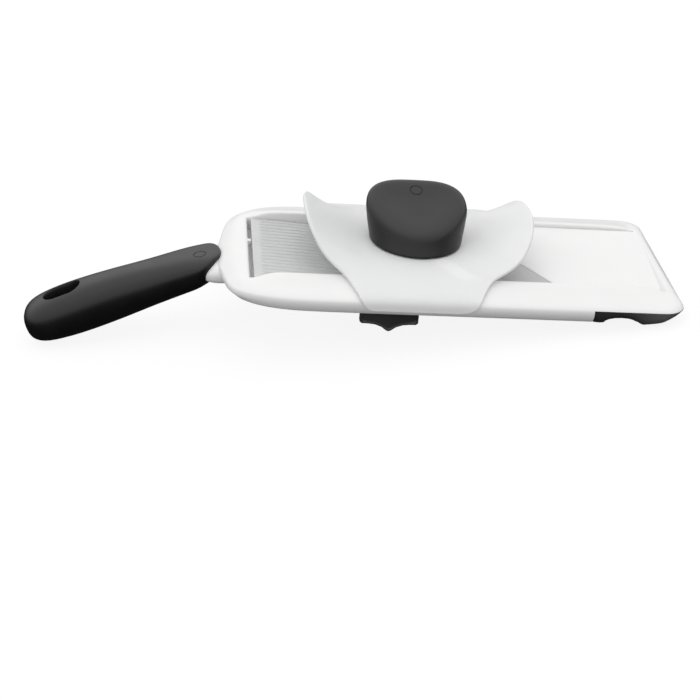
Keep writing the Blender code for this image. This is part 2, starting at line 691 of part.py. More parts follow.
def prong_places():
    places = []
    for index in range(PRONG_COUNT):
        turn = 2.0 * math.pi * (index + 0.5) / PRONG_COUNT
        places.append((HOLDER_X + 17.0 * math.cos(turn), 17.0 * math.sin(turn)))
    return places


def holder_screw_places():
    return [(HOLDER_X - 8.0, 0.0), (HOLDER_X + 8.0, 0.0)]


KNOB_SIDES = 28
KNOB_WALL = 2.5
KNOB_RINGS = [
    # share of the height, share of the way from the base circle to the top outline, inset
    (0.0, 0.0, 0.0), (0.09, 0.0, 0.0), (0.35, 0.4, 0.0), (0.70, 0.85, 0.0), (0.90, 1.0, 0.0),
    (0.975, 1.0, 1.3), (1.0, 1.0, 4.0), (1.0, 1.0, 14.0),
]


def knob_top_height(y):
    """The top face slants down toward the near side."""
    return 18.6 + 0.335 * (y + 25.0)


def knob_top_outline(turn):
    """Rounded top outline, full at the far corners and drawn to a blunt point at the near side."""
    across = math.cos(turn)
    along = math.sin(turn)
    if along > 0.0:
        full = 0.82
        return Vector((28.8 * math.copysign(abs(across) ** full, across), 4.0 + 21.6 * along ** full))
    half_width = 28.8 - 5.5 * along ** 2 * (1.0 + along)
    return Vector((half_width * across * (1.0 + 0.16 * along), 4.0 + 28.2 * along))


def knob_rings(wall):
    """Rings of the knob's surface from its base to its top, set inwards by a wall."""
    rings = []
    for share, morph, inset in KNOB_RINGS:
        ring = []
        for step in range(KNOB_SIDES):
            turn = 2.0 * math.pi * step / KNOB_SIDES
            base = Vector((KNOB_RADIUS * math.cos(turn), KNOB_RADIUS * math.sin(turn)))
            plan = base.lerp(knob_top_outline(turn), morph)
            plan -= (plan - Vector((0.0, 2.0))).normalized() * (inset + wall)
            top = knob_top_height(plan.y) - wall
            ring.append((HOLDER_X + plan.x, plan.y, KNOB_BASE_Z + (top - KNOB_BASE_Z) * share))
        rings.append(ring)
    return rings


def make_knob():
    shell = knob_rings(KNOB_WALL)[::-1] + knob_rings(0.0)
    knob = add_object("palm_knob", loft(shell), BLACK, origin=(HOLDER_X, 0.0, KNOB_BASE_Z))
    shade(knob, 50.0)
    core = add_object(
        "knob_core", rod((HOLDER_X, 0.0, 0.0), 21.8, KNOB_BASE_Z, 11.6, sides=40), WHITE,
        origin=(HOLDER_X, 0.0, KNOB_BASE_Z))
    join(core, "core_post", rod((HOLDER_X, 0.0, 0.0), 12.0, 11.0, 18.2, sides=32))
    for index, place in enumerate(prong_places(), 1):
        cut(core, f"core_prong_hole_{index}", screw_hole(place, 5.0, 11.0, radius=1.35))
        pin = turned(place, [(0.3, PRONG_TIP_Z), (1.0, PRONG_TIP_Z + 1.6), (1.0, 10.6)], sides=12)
        shade(add_object(f"prong_{index}", pin, STEEL, origin=(place[0], place[1], 10.6)))
    for index, place in enumerate(holder_screw_places(), 1):
        cut(core, f"core_screw_hole_{index}", screw_hole(place, 5.0, 15.0))
        make_screw(f"holder_screw_{index}", place, PLATE_MID_Z - PLATE / 2 - GAP, 14.5)


# ---------------------------------------------------------------- assembly
def settle():
    """Put the lowest point on Z = 0 and the origin under the middle of the slicer."""
    bpy.context.view_layer.update()
    depsgraph = bpy.context.evaluated_depsgraph_get()
    points = []
    for obj in PARTS.objects:
        if obj.type != "MESH":
            continue
        shown = obj.evaluated_get(depsgraph)
        points += [shown.matrix_world @ vertex.co for vertex in shown.data.vertices]
    low = Vector([min(point[axis] for point in points) for axis in range(3)])
    high = Vector([max(point[axis] for point in points) for axis in range(3)])
    STANCE.location = (-(low.x + high.x) / 2, -(low.y + high.y) / 2, -low.z)


make_body_frame()
make_handle()
make_blade()
make_ramp()
make_slider()
make_detent()
make_foot()
make_holder_shell()
make_knob()
settle()
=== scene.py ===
"""Looks of a hand-held mandoline slicer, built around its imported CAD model.

Pieces are shaped in millimetres in the slicer's own frame (X from handle to foot, Y across,
Z up, ramp window starting at X = 0) and then set down in the CAD frame by STANCE.
"""
import json
import math

import bmesh
import bpy
from mathutils import Matrix, Vector

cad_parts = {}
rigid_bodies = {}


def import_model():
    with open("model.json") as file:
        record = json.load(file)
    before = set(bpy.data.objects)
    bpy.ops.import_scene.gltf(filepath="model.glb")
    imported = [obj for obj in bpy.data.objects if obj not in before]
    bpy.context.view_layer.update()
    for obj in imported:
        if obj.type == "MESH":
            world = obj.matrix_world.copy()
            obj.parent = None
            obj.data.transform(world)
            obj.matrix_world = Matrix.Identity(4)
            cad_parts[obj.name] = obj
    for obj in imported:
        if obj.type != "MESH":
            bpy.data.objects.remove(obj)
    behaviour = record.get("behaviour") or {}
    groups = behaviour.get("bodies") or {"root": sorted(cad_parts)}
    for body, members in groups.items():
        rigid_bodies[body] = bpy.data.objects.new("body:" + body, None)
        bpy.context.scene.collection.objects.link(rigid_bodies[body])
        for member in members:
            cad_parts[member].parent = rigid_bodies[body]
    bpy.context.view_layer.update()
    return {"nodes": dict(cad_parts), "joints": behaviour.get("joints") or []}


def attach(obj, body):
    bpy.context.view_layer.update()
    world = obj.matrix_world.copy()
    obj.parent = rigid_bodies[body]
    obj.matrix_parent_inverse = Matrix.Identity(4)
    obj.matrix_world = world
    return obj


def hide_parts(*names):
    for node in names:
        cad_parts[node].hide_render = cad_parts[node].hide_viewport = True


MM = 0.001

for old in list(bpy.data.objects):
    bpy.data.objects.remove(old, do_unlink=True)

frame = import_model()
NODES = frame["nodes"]
JOINTS = {joint["name"]: joint for joint in frame["joints"]}

# ---------------------------------------------------------------- the slicer's own frame
HINGE = Vector((6.4, 0.0, -3.3))
ALONG = Vector(JOINTS["thickness_slide"]["axis"]).normalized()
ACROSS = Vector((0.0, 1.0, 0.0))
UPWARD = ALONG.cross(ACROSS)
STANCE = Matrix((ALONG, ACROSS, UPWARD)).transposed().to_4x4()
STANCE.translation = Vector(JOINTS["ramp_tilt"]["pos_m"]) - STANCE.to_3x3() @ (HINGE * MM)

HALF_WIDTH = 63.6
WINDOW_HALF = 40.25
WINDOW_END_X = 227.0
END_X = 235.58
FOOT_X = 184.0
FOOT_TOP_Z = -2.3
GAP = 0.25
CORNER_RADIUS = 13.0
RIDGE_Z = 4.0
EDGE_Z = -1.2
WALL = 2.2
WALL_BOTTOM_Z = -9.0
SKIRT_BOTTOM_Z = -10.0
SLANT = -0.583
DECK_X = 144.7
BLADE_X = 106.7
DECK_TOP_Z = 1.65
HANDLE_DROOP = math.radians(22.7)
HANDLE_START = Vector((-24.0, 0.0, -12.3))
HOLDER_X = 92.5
KNOB_BASE_Z = 8.52
RING_RADIUS = 3.4
RING_TUBE = 0.42
RING_SOUGHT_FROM = 60.0
CROSSWISE = (math.radians(90.0), 0.0, 0.0)


# ---------------------------------------------------------------- modelling helpers
def free_hands():
    """Leave edit mode and let go of everything."""
    if bpy.context.object and bpy.context.object.mode != "OBJECT":
        bpy.ops.object.mode_set(mode="OBJECT")
    bpy.ops.object.select_all(action="DESELECT")


def take(piece):
    """Make one piece the selected and active one."""
    free_hands()
    piece.select_set(True)
    bpy.context.view_layer.objects.active = piece
    return piece


def pick_edges(piece, test):
    """Enter edit mode with only the edges selected that pass a test."""
    take(piece)
    bpy.ops.object.mode_set(mode="EDIT")
    bpy.ops.mesh.select_mode(type="EDGE")
    bpy.ops.mesh.select_all(action="DESELECT")
    bm = bmesh.from_edit_mesh(piece.data)
    for edge in bm.edges:
        if test(edge):
            edge.select_set(True)
    bm.select_flush_mode()
    bmesh.update_edit_mesh(piece.data)


def middle(edge):
    """Middle of an edge, in millimetres."""
    return (edge.verts[0].co + edge.verts[1].co) / 2 / MM


def named(name):
    """Name the piece that was just made, and its mesh."""
    piece = bpy.context.object
    piece.name = name
    piece.data.name = name
    return piece


def new_circle(name, points):
    """A flat ring of points, pulled to the given outline; stays in edit mode, selected."""
    free_hands()
    bpy.ops.mesh.primitive_circle_add(vertices=len(points), radius=MM)
    piece = named(name)
    bpy.ops.object.mode_set(mode="EDIT")
    bpy.ops.mesh.select_mode(type="VERT")
    bpy.ops.mesh.select_all(action="SELECT")
    shape_ring(piece, points, 0)
    return piece


def shape_ring(piece, points, start):
    """In edit mode, move a run of points, from a first one on, to an outline's places."""
    bm = bmesh.from_edit_mesh(piece.data)
    bm.verts.ensure_lookup_table()
    for offset, point in enumerate(points):
        bm.verts[start + offset].co = Vector(point) * MM
    bmesh.update_edit_mesh(piece.data)


def draw_out(name, rings, wrap=False):
    """Extrude a ring of points through a row of outlines; the ends are closed, or joined if it wraps."""
    piece = new_circle(name, rings[0])
    row = rings[1:]
    if wrap:
        row = row + rings[:1]
    else:
        bpy.ops.mesh.edge_face_add()
        bpy.ops.mesh.select_all(action="SELECT")
    bpy.ops.mesh.select_mode(type="EDGE")
    for index, ring in enumerate(row, 1):
        bpy.ops.mesh.extrude_edges_move()
        bpy.ops.mesh.select_mode(type="VERT")
        shape_ring(piece, ring, index * len(ring))
        bpy.ops.mesh.select_mode(type="EDGE")
    if not wrap:
        bpy.ops.mesh.edge_face_add()
    bpy.ops.mesh.select_all(action="SELECT")
    if wrap:
        bpy.ops.mesh.remove_doubles(threshold=0.02 * MM)
    bpy.ops.mesh.normals_make_consistent(inside=False)
    bpy.ops.object.mode_set(mode="OBJECT")
    return piece


def new_block(name, x, y, z, rounded=0.0):
    """Block between three (low, high) pairs, with all its edges rounded."""
    free_hands()
    centre = Vector((sum(x), sum(y), sum(z))) / 2
    bpy.ops.mesh.primitive_cube_add(size=1.0, location=centre * MM)
    piece = named(name)
    piece.scale = Vector((x[1] - x[0], y[1] - y[0], z[1] - z[0])) * MM
    bpy.ops.object.transform_apply(location=True, rotation=True, scale=True)
    if rounded:
        bpy.ops.object.mode_set(mode="EDIT")
        bpy.ops.mesh.select_all(action="SELECT")
        bpy.ops.mesh.bevel(offset=rounded * MM, segments=3, affect="EDGES")
        bpy.ops.object.mode_set(mode="OBJECT")
    return piece


def new_rod(name, radius, depth, place, turn=(0.0, 0.0, 0.0)):
    """Rod of a radius and a depth about its middle, upright unless it is turned."""
    free_hands()
    bpy.ops.mesh.primitive_cylinder_add(
        vertices=48, radius=radius * MM, depth=depth * MM, location=Vector(place) * MM, rotation=turn)
    piece = named(name)
    bpy.ops.object.transform_apply(location=True, rotation=True, scale=True)
    return piece


def apply_modifier(piece, kind, **settings):
    take(piece)
    modifier = piece.modifiers.new(kind.lower(), kind)
    for key, value in settings.items():
        setattr(modifier, key, value)
    bpy.ops.object.modifier_apply(modifier=modifier.name)
    return piece


def smooth_form(piece, levels):
    return apply_modifier(piece, "SUBSURF", levels=levels, render_levels=levels)


def combine(piece, other, operation="DIFFERENCE"):
    apply_modifier(piece, "BOOLEAN", object=other, operation=operation, solver="EXACT")
    bpy.data.objects.remove(other, do_unlink=True)
    return piece


def sink_ring(piece, x, y):
    """Sink a small plain ring into the upper face of a piece, found from well above it."""
    free_hands()
    bpy.context.view_layer.update()
    spot, normal = piece.ray_cast(Vector((x, y, RING_SOUGHT_FROM)) * MM, Vector((0.0, 0.0, -1.0)))[1:3]
    bpy.ops.mesh.primitive_torus_add(
        major_segments=48, minor_segments=12, major_radius=RING_RADIUS * MM, minor_radius=RING_TUBE * MM,
        location=spot, rotation=normal.to_track_quat("Z", "Y").to_euler())
    ring = named("ring")
    bpy.ops.object.transform_apply(location=True, rotation=True, scale=True)
    return combine(piece, ring)


def shade(piece, angle):
    """Smooth shading, with a crease wherever two faces meet at more than the angle."""
    take(piece)
    bpy.ops.object.shade_smooth_by_angle(angle=math.radians(angle))
    return piece


def set_down(piece, body, slot, material, *replaced):
    """Carry a finished piece into the CAD frame, give it its finish and its body."""
    take(piece)
    piece.matrix_world = STANCE @ piece.matrix_world
    bpy.ops.object.transform_apply(location=True, rotation=True, scale=True)
    piece.data.materials.clear()
    piece.data.materials.append(material)
    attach(piece, body)
    if replaced:
        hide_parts(*replaced)
    return piece


def smoothstep(low, high, value):
    """0 below a low value and 1 above a high one, with a smooth rise between them."""
    t = min(max((value - low) / (high - low), 0.0), 1.0)
    return t * t * (3.0 - 2.0 * t)


def slanted(first, last, half):
    """Corners of a strip across the slicer whose ends follow the blade's slant."""
    return [
        (first - SLANT * half, -half), (last - SLANT * half, -half),
        (last + SLANT * half, half), (first + SLANT * half, half),
    ]


def plate(name, outline, low, high):
    """Flat plate over an outline of (x, y) points, between two heights."""
    return draw_out(name, [[(x, y, z) for x, y in outline] for z in (low, high)])


# ---------------------------------------------------------------- finishes
RUB_EDGE = 6.0
RUB_DULLNESS = 0.08
# Stretch of the foot over which its rubber turns paler: a painted reflection of light on the lobe
LOBE_REFLECTION_FROM = Vector((199.0, 0.0, -8.0))
LOBE_REFLECTION_TO = Vector((222.0, 0.0, -8.0))
# Colour of the painted reflection on the foot's lobe
LOBE_REFLECTION_COLOUR = (0.10, 0.10, 0.101, 1.0)


def node_group(name, inputs, outputs):
    """Empty shader group with named number inputs and outputs."""
    group = bpy.data.node_groups.new(name, "ShaderNodeTree")
    for label, value in inputs:
        socket = group.interface.new_socket(label, in_out="INPUT", socket_type="NodeSocketFloat")
        socket.default_value = value
    for label in outputs:
        group.interface.new_socket(label, in_out="OUTPUT", socket_type="NodeSocketFloat")
    start = group.nodes.new("NodeGroupInput")
    end = group.nodes.new("NodeGroupOutput")
    return group, start, end


def math_node(tree, operation, first, second, clamp=False):
    """One step of arithmetic on an output, with another output or a number."""
    node = tree.nodes.new("ShaderNodeMath")
    node.operation = operation
    node.use_clamp = clamp
    tree.links.new(first, node.inputs[0])
    if isinstance(second, float):
        node.inputs[1].default_value = second
    else:
        tree.links.new(second, node.inputs[1])
    return node.outputs[0]


def make_moulded_grain():
    """Fine spark-eroded grain over slow, faint waves, as a mould leaves on plastic and rubber."""
    group, start, end = node_group(
        "moulded_grain", [("Grain Scale", 2500.0), ("Wave Scale", 60.0), ("Wave Share", 0.3)],
        ["Height", "Mottle"])
    place = group.nodes.new("ShaderNodeTexCoord")
    grain = group.nodes.new("ShaderNodeTexNoise")
    grain.inputs["Detail"].default_value = 2.0
    wave = group.nodes.new("ShaderNodeTexNoise")
    wave.inputs["Detail"].default_value = 3.0
    for noise, scale in ((grain, "Grain Scale"), (wave, "Wave Scale")):
        group.links.new(place.outputs["Object"], noise.inputs["Vector"])
        group.links.new(start.outputs[scale], noise.inputs["Scale"])
    waves = math_node(group, "MULTIPLY", wave.outputs["Fac"], start.outputs["Wave Share"])
    height = math_node(group, "ADD", grain.outputs["Fac"], waves)
    group.links.new(height, end.inputs["Height"])
    group.links.new(wave.outputs["Fac"], end.inputs["Mottle"])
    return group


def make_rub_marks():
    """Thin scattered rub marks and smudges from handling."""
    group, start, end = node_group(
        "rub_marks", [("Scale", 90.0), ("Stretch", 9.0), ("Threshold", 0.62)], ["Mask"])
    place = group.nodes.new("ShaderNodeTexCoord")
    stretch = group.nodes.new("ShaderNodeCombineXYZ")
    group.links.new(start.outputs["Stretch"], stretch.inputs["Y"])
    stretch.inputs["X"].default_value = 1.0
    stretch.inputs["Z"].default_value = 1.0
    warp = group.nodes.new("ShaderNodeVectorMath")
    warp.operation = "MULTIPLY"
    group.links.new(place.outputs["Object"], warp.inputs[0])
    group.links.new(stretch.outputs["Vector"], warp.inputs[1])
    marks = group.nodes.new("ShaderNodeTexNoise")
    marks.inputs["Detail"].default_value = 5.0
    group.links.new(warp.outputs["Vector"], marks.inputs["Vector"])
    group.links.new(start.outputs["Scale"], marks.inputs["Scale"])
    over = math_node(group, "SUBTRACT", marks.outputs["Fac"], start.outputs["Threshold"])
    mask = math_node(group, "MULTIPLY", over, RUB_EDGE, clamp=True)
    group.links.new(mask, end.inputs["Mask"])
    return group


MOULDED_GRAIN = make_moulded_grain()
RUB_MARKS = make_rub_marks()


def new_finish(name):
    """A new material, with its node tree and its Principled shader."""
    material = bpy.data.materials.new(name)
    material.use_nodes = True
    return material, material.node_tree, material.node_tree.nodes["Principled BSDF"]


def place_group(tree, group, **values):
    """Put a shared group in a material, with its own values where they differ."""
    node = tree.nodes.new("ShaderNodeGroup")
    node.node_tree = group
    for label, value in values.items():
        node.inputs[label.replace("_", " ")].default_value = value
    return node


def mix_colour(tree, factor, first, second):
    """Colour between two, by a mask."""
    node = tree.nodes.new("ShaderNodeMix")
    node.data_type = "RGBA"
    node.inputs["A"].default_value = (*first, 1.0)
    node.inputs["B"].default_value = (*second, 1.0)
    tree.links.new(factor, node.inputs["Factor"])
    return node.outputs["Result"]


def spread(tree, value, low, high):
    """A mask from 0 to 1, spread between two values."""
    node = tree.nodes.new("ShaderNodeMapRange")
    node.inputs["To Min"].default_value = low
    node.inputs["To Max"].default_value = high
    tree.links.new(value, node.inputs["Value"])
    return node.outputs["Result"]


def raise_surface(tree, shader, height, depth_mm):
    """Relief of a depth in millimetres, from a mask of heights."""
    bump = tree.nodes.new("ShaderNodeBump")
    bump.inputs["Strength"].default_value = 1.0
    bump.inputs["Distance"].default_value = depth_mm * MM
    tree.links.new(height, bump.inputs["Height"])
    tree.links.new(bump.outputs["Normal"], shader.inputs["Normal"])


def moulded_finish(name, light, dark, smooth, rough, grain, depth_mm, wave=60.0):
    """Moulded plastic or rubber: mottled colour and gloss over a fine grain, with rub marks."""
    material, tree, shader = new_finish(name)
    body = place_group(tree, MOULDED_GRAIN, Grain_Scale=grain, Wave_Scale=wave)
    rubs = place_group(tree, RUB_MARKS)
    tree.links.new(mix_colour(tree, body.outputs["Mottle"], dark, light), shader.inputs["Base Color"])
    mottled = spread(tree, body.outputs["Mottle"], smooth, rough)
    rubbed = math_node(tree, "MULTIPLY", rubs.outputs["Mask"], RUB_DULLNESS)
    tree.links.new(math_node(tree, "ADD", mottled, rubbed), shader.inputs["Roughness"])
    raise_surface(tree, shader, body.outputs["Height"], depth_mm)
    return material, shader


def make_finishes():
    """Every finish by its short name, with what sets it apart from a plain moulding."""
    finishes = {}
    finishes["white"], _ = moulded_finish(
        "white_moulding", (0.885, 0.885, 0.880), (0.855, 0.856, 0.852), 0.34, 0.46, 2600.0, 0.006)
    finishes["rubber"], shader = moulded_finish(
        "soft_black_rubber", (0.0085, 0.0085, 0.0088), (0.0035, 0.0035, 0.0037), 0.30, 0.44, 3200.0, 0.010,
        wave=70.0)
    shader.inputs["IOR"].default_value = 1.40
    finishes["tab"], _ = moulded_finish(
        "firm_black_plastic", (0.042, 0.042, 0.043), (0.022, 0.022, 0.023), 0.32, 0.5, 2600.0, 0.01)
    finishes["foot"], shader = moulded_finish(
        "charcoal_foot_rubber", (0.030, 0.030, 0.031), (0.014, 0.014, 0.0145), 0.42, 0.6, 3200.0, 0.012)
    # Painted reflection: the foot's lobe is made paler
    paint_lobe_reflection(finishes["foot"].node_tree, shader)
    finishes["frosted"], shader = moulded_finish(
        "frosted_moulding", (0.985, 0.988, 0.988), (0.965, 0.969, 0.969), 0.42, 0.55, 2400.0, 0.008)
    shader.inputs["Transmission Weight"].default_value = 0.06
    shader.inputs["Alpha"].default_value = 0.74
    shader.inputs["IOR"].default_value = 1.45
    finishes["clear"], shader = moulded_finish(
        "clear_smoked_moulding", (0.79, 0.794, 0.80), (0.69, 0.694, 0.70), 0.16, 0.3, 1800.0, 0.004,
        wave=45.0)
    shader.inputs["Transmission Weight"].default_value = 0.15
    shader.inputs["Alpha"].default_value = 0.88
    finishes["blade"] = make_ground_steel()
    finishes["screw"], shader = moulded_finish(
        "plated_screw_steel", (0.66, 0.66, 0.67), (0.52, 0.52, 0.53), 0.24, 0.42, 2000.0, 0.004)
    shader.inputs["Metallic"].default_value = 1.0
    return finishes


def paint_lobe_reflection(tree, shader):
    """Painted reflection: paler rubber on the lobe that bears on a bowl's rim, standing in for light it
    catches there.
    """
    place = tree.nodes.new("ShaderNodeTexCoord")
    split = tree.nodes.new("ShaderNodeSeparateXYZ")
    tree.links.new(place.outputs["Object"], split.inputs["Vector"])
    lobe = tree.nodes.new("ShaderNodeMapRange")
    lobe.interpolation_type = "SMOOTHSTEP"
    lobe.inputs["From Min"].default_value = (STANCE @ (LOBE_REFLECTION_FROM * MM)).x
    lobe.inputs["From Max"].default_value = (STANCE @ (LOBE_REFLECTION_TO * MM)).x
    tree.links.new(split.outputs["X"], lobe.inputs["Value"])
    blend = tree.nodes.new("ShaderNodeMix")
    blend.data_type = "RGBA"
    blend.inputs["B"].default_value = LOBE_REFLECTION_COLOUR
    tree.links.new(shader.inputs["Base Color"].links[0].from_socket, blend.inputs["A"])
    tree.links.new(lobe.outputs["Result"], blend.inputs["Factor"])
    tree.links.new(blend.outputs["Result"], shader.inputs["Base Color"])


def make_ground_steel():
    """Blade steel with fine grinding lines that run along the slicer."""
    material, tree, shader = new_finish("ground_blade_steel")
    place = tree.nodes.new("ShaderNodeTexCoord")
    turned = tree.nodes.new("ShaderNodeMapping")
    turned.inputs["Rotation"].default_value = (0.0, 0.0, math.atan(-SLANT))
    turned.inputs["Scale"].default_value = (120.0, 4200.0, 120.0)
    lines = tree.nodes.new("ShaderNodeTexNoise")
    lines.inputs["Scale"].default_value = 1.0
    lines.inputs["Detail"].default_value = 3.0
    tree.links.new(place.outputs["Object"], turned.inputs["Vector"])
    tree.links.new(turned.outputs["Vector"], lines.inputs["Vector"])
    steel = mix_colour(tree, lines.outputs["Fac"], (0.37, 0.37, 0.373), (0.47, 0.47, 0.473))
    tree.links.new(steel, shader.inputs["Base Color"])
    tree.links.new(spread(tree, lines.outputs["Fac"], 0.42, 0.56), shader.inputs["Roughness"])
    shader.inputs["Metallic"].default_value = 0.75
    raise_surface(tree, shader, lines.outputs["Fac"], 0.004)
    return material


# ---------------------------------------------------------------- camera, floor and lights
# Place and directions in the slicer's own frame, millimetres
CAMERA_PLACE = Vector((-40.3, -865.11, 385.29))
CAMERA_LOOK = Vector((0.104, 0.8831, -0.4576))
CAMERA_UP = Vector((-0.0344, 0.463, 0.8857))
CAMERA_LENS = 87.43


def make_camera():
    """Long-lens camera, set by its place, its looking direction and its upward one."""
    data = bpy.data.cameras.new("camera")
    data.lens = CAMERA_LENS
    data.sensor_width = 36.0
    data.clip_start = 0.05
    camera = bpy.data.objects.new("camera", data)
    bpy.context.scene.collection.objects.link(camera)
    back = -CAMERA_LOOK.normalized()
    right = CAMERA_UP.cross(back).normalized()
    up = back.cross(right)
    pose = Matrix((right, up, back)).transposed().to_4x4()
    pose.translation = CAMERA_PLACE * MM
    camera.matrix_world = STANCE @ pose
    bpy.context.scene.camera = camera


# Overhead panel, in metres
PANEL_PLACE = Vector((-0.10, 0.05, 1.25))
PANEL_AIM = Vector((0.0, 0.0, 0.03))
PANEL_SIZE = (1.3, 1.0)
PANEL_WATTS = 1.6


def make_overhead_light():
    """One large, weak panel, a little behind the slicer, that gives its tops a gentle lead."""
    data = bpy.data.lights.new("overhead", "AREA")
    data.shape = "RECTANGLE"
    data.size, data.size_y = PANEL_SIZE
    data.energy = PANEL_WATTS
    light = bpy.data.objects.new("overhead", data)
    light.location = PANEL_PLACE
    light.rotation_euler = (PANEL_PLACE - PANEL_AIM).to_track_quat("Z", "Y").to_euler()
    bpy.context.scene.collection.objects.link(light)


SKY_STEPS = [
    # height of the direction (sine of its elevation), brightness
    (0.0, 0.10), (0.12, 0.44), (0.36, 0.90), (1.0, 1.04),
]
SKY_GLOSS = 1.6
# The floor as the camera sees it, as it lights the slicer, and in reflections
FLOOR_SEEN_SHARE = 0.14
FLOOR_BOUNCE = 0.40
FLOOR_MIRRORED = 0.03
FLOOR_GLOW = 1.03
FLOOR_SIZE = 8.0
FLOOR_HEIGHT = -0.0006


def make_sky(tree):
    """Soft sky, dim along the horizon and bright above."""
    place = tree.nodes.new("ShaderNodeTexCoord")
    split = tree.nodes.new("ShaderNodeSeparateXYZ")
    ramp = tree.nodes.new("ShaderNodeValToRGB")
    tree.links.new(place.outputs["Generated"], split.inputs["Vector"])
    tree.links.new(split.outputs["Z"], ramp.inputs["Fac"])
    stops = ramp.color_ramp.elements
    while len(stops) < len(SKY_STEPS):
        stops.new(0.5)
    for stop, (height, value) in zip(stops, SKY_STEPS):
        stop.position = height
        stop.color = (value, value, value, 1.0)
    return ramp.outputs["Color"]


def choose_for_rays(tree, test, usual, special):
    """One shader for most rays and another for the kind of ray tested."""
    rays = tree.nodes.new("ShaderNodeLightPath")
    choose = tree.nodes.new("ShaderNodeMixShader")
    tree.links.new(rays.outputs[test], choose.inputs["Fac"])
    tree.links.new(usual, choose.inputs[1])
    tree.links.new(special, choose.inputs[2])
    return choose.outputs[0]


def make_studio():
    """White surround for the camera, and for other rays the soft sky, brighter in reflections."""
    scene = bpy.context.scene
    scene.view_settings.view_transform = "Standard"
    world = bpy.data.worlds.new("studio")
    scene.world = world
    world.use_nodes = True
    tree = world.node_tree
    sky = tree.nodes["Background"]
    tree.links.new(make_sky(tree), sky.inputs["Color"])
    backdrop = tree.nodes.new("ShaderNodeBackground")
    backdrop.inputs["Color"].default_value = (1.0, 1.0, 1.0, 1.0)
    gloss = tree.nodes.new("ShaderNodeBackground")
    gloss.inputs["Strength"].default_value = SKY_GLOSS
    tree.links.new(sky.inputs["Color"].links[0].from_socket, gloss.inputs["Color"])
    lit = choose_for_rays(tree, "Is Glossy Ray", sky.outputs[0], gloss.outputs[0])
    shown = choose_for_rays(tree, "Is Camera Ray", lit, backdrop.outputs[0])
    tree.links.new(shown, tree.nodes["World Output"].inputs["Surface"])


def make_floor():
    """Pale floor that glows evenly to the camera and keeps a soft shadow of the slicer."""
    free_hands()
    bpy.ops.mesh.primitive_plane_add(size=FLOOR_SIZE, location=(0.0, 0.0, FLOOR_HEIGHT))
    floor = named("floor")
    material, tree, shader = new_finish("floor_paper")
    shader.inputs["Base Color"].default_value = (0.9, 0.9, 0.9, 1.0)
    shader.inputs["Roughness"].default_value = 0.9
    glow = tree.nodes.new("ShaderNodeEmission")
    glow.inputs["Strength"].default_value = FLOOR_GLOW
    seen = tree.nodes.new("ShaderNodeMixShader")
    seen.inputs["Fac"].default_value = FLOOR_SEEN_SHARE
    tree.links.new(glow.outputs[0], seen.inputs[1])
    tree.links.new(shader.outputs[0], seen.inputs[2])
    bounce = tree.nodes.new("ShaderNodeBsdfDiffuse")
    bounce.inputs["Color"].default_value = (FLOOR_BOUNCE, FLOOR_BOUNCE, FLOOR_BOUNCE, 1.0)
    mirrored = tree.nodes.new("ShaderNodeEmission")
    mirrored.inputs["Strength"].default_value = FLOOR_MIRRORED
    unseen = choose_for_rays(tree, "Is Glossy Ray", bounce.outputs[0], mirrored.outputs[0])
    surface = choose_for_rays(tree, "Is Camera Ray", unseen, seen.outputs[0])
    tree.links.new(surface, tree.nodes["Material Output"].inputs["Surface"])
    floor.data.materials.append(material)


# ---------------------------------------------------------------- white body
# Each station pairs a point of the outer outline with a point of the window,
# then gives the heights of the outer edge and of the skirt's bottom.
SHOULDER = [
    ((-17.4, 0.0), (0.0, 0.0), -5.3, -15.8), ((-17.4, 8.0), (0.0, 7.5), -5.3, -15.8),
    ((-17.2, 12.5), (0.0, 12.0), -5.3, -15.6), ((-16.8, 16.0), (0.0, 16.0), -5.2, -15.2),
    ((-16.0, 20.0), (0.0, 20.0), -5.0, -14.0), ((-15.2, 25.0), (0.0, 25.0), -4.7, -12.0),
    ((-14.2, 32.0), (0.0, 31.0), -4.1, -10.4), ((-12.4, 41.0), (0.0, 36.0), -3.6, -10.0),
    ((-10.6, 45.2), (0.0, 39.2), -3.35, -10.0), ((-9.0, 48.0), (0.0, WINDOW_HALF), -3.2, -10.0),
    ((-7.4, 50.4), (0.8, WINDOW_HALF), -2.9, -10.0), ((-4.4, 53.3), (3.5, WINDOW_HALF), -2.5, -10.0),
    ((1.5, 57.3), (7.0, WINDOW_HALF), -1.9, -10.0), ((9.0, 60.3), (11.0, WINDOW_HALF), -1.5, -10.0),
    ((18.0, 62.4), (17.0, WINDOW_HALF), -1.3, -10.0),
]
RAIL_STATIONS = [29.0, 60.0, 100.0, 140.0, 180.0, 210.0]
CORNER_STEPS = 8
WINDOW_CORNER = 5.0
RIDGE_FULL_X = 14.0
RIDGE_SINKS_X = 219.0


def frame_stations():
    """Half of the frame's stations, from the neck's middle round to the end's middle."""
    stations = list(SHOULDER)
    for x in RAIL_STATIONS:
        stations.append(((x, HALF_WIDTH), (x, WINDOW_HALF), EDGE_Z, SKIRT_BOTTOM_Z))
    corner_x = END_X - CORNER_RADIUS
    corner_y = HALF_WIDTH - CORNER_RADIUS
    half = CORNER_STEPS / 2
    for step in range(CORNER_STEPS + 1):
        turn = math.radians(90.0 * step / CORNER_STEPS)
        outer = (corner_x + CORNER_RADIUS * math.sin(turn), corner_y + CORNER_RADIUS * math.cos(turn))
        inner_x = corner_x + (WINDOW_END_X - corner_x) * min(step / half, 1.0)
        inner_y = WINDOW_HALF - WINDOW_CORNER * max(step / half - 1.0, 0.0)
        stations.append((outer, (inner_x, inner_y), EDGE_Z, SKIRT_BOTTOM_Z))
    for y in (30.0, 15.0, 0.0):
        stations.append(((END_X, y), (WINDOW_END_X, 0.9 * y), EDGE_Z, SKIRT_BOTTOM_Z))
    return stations


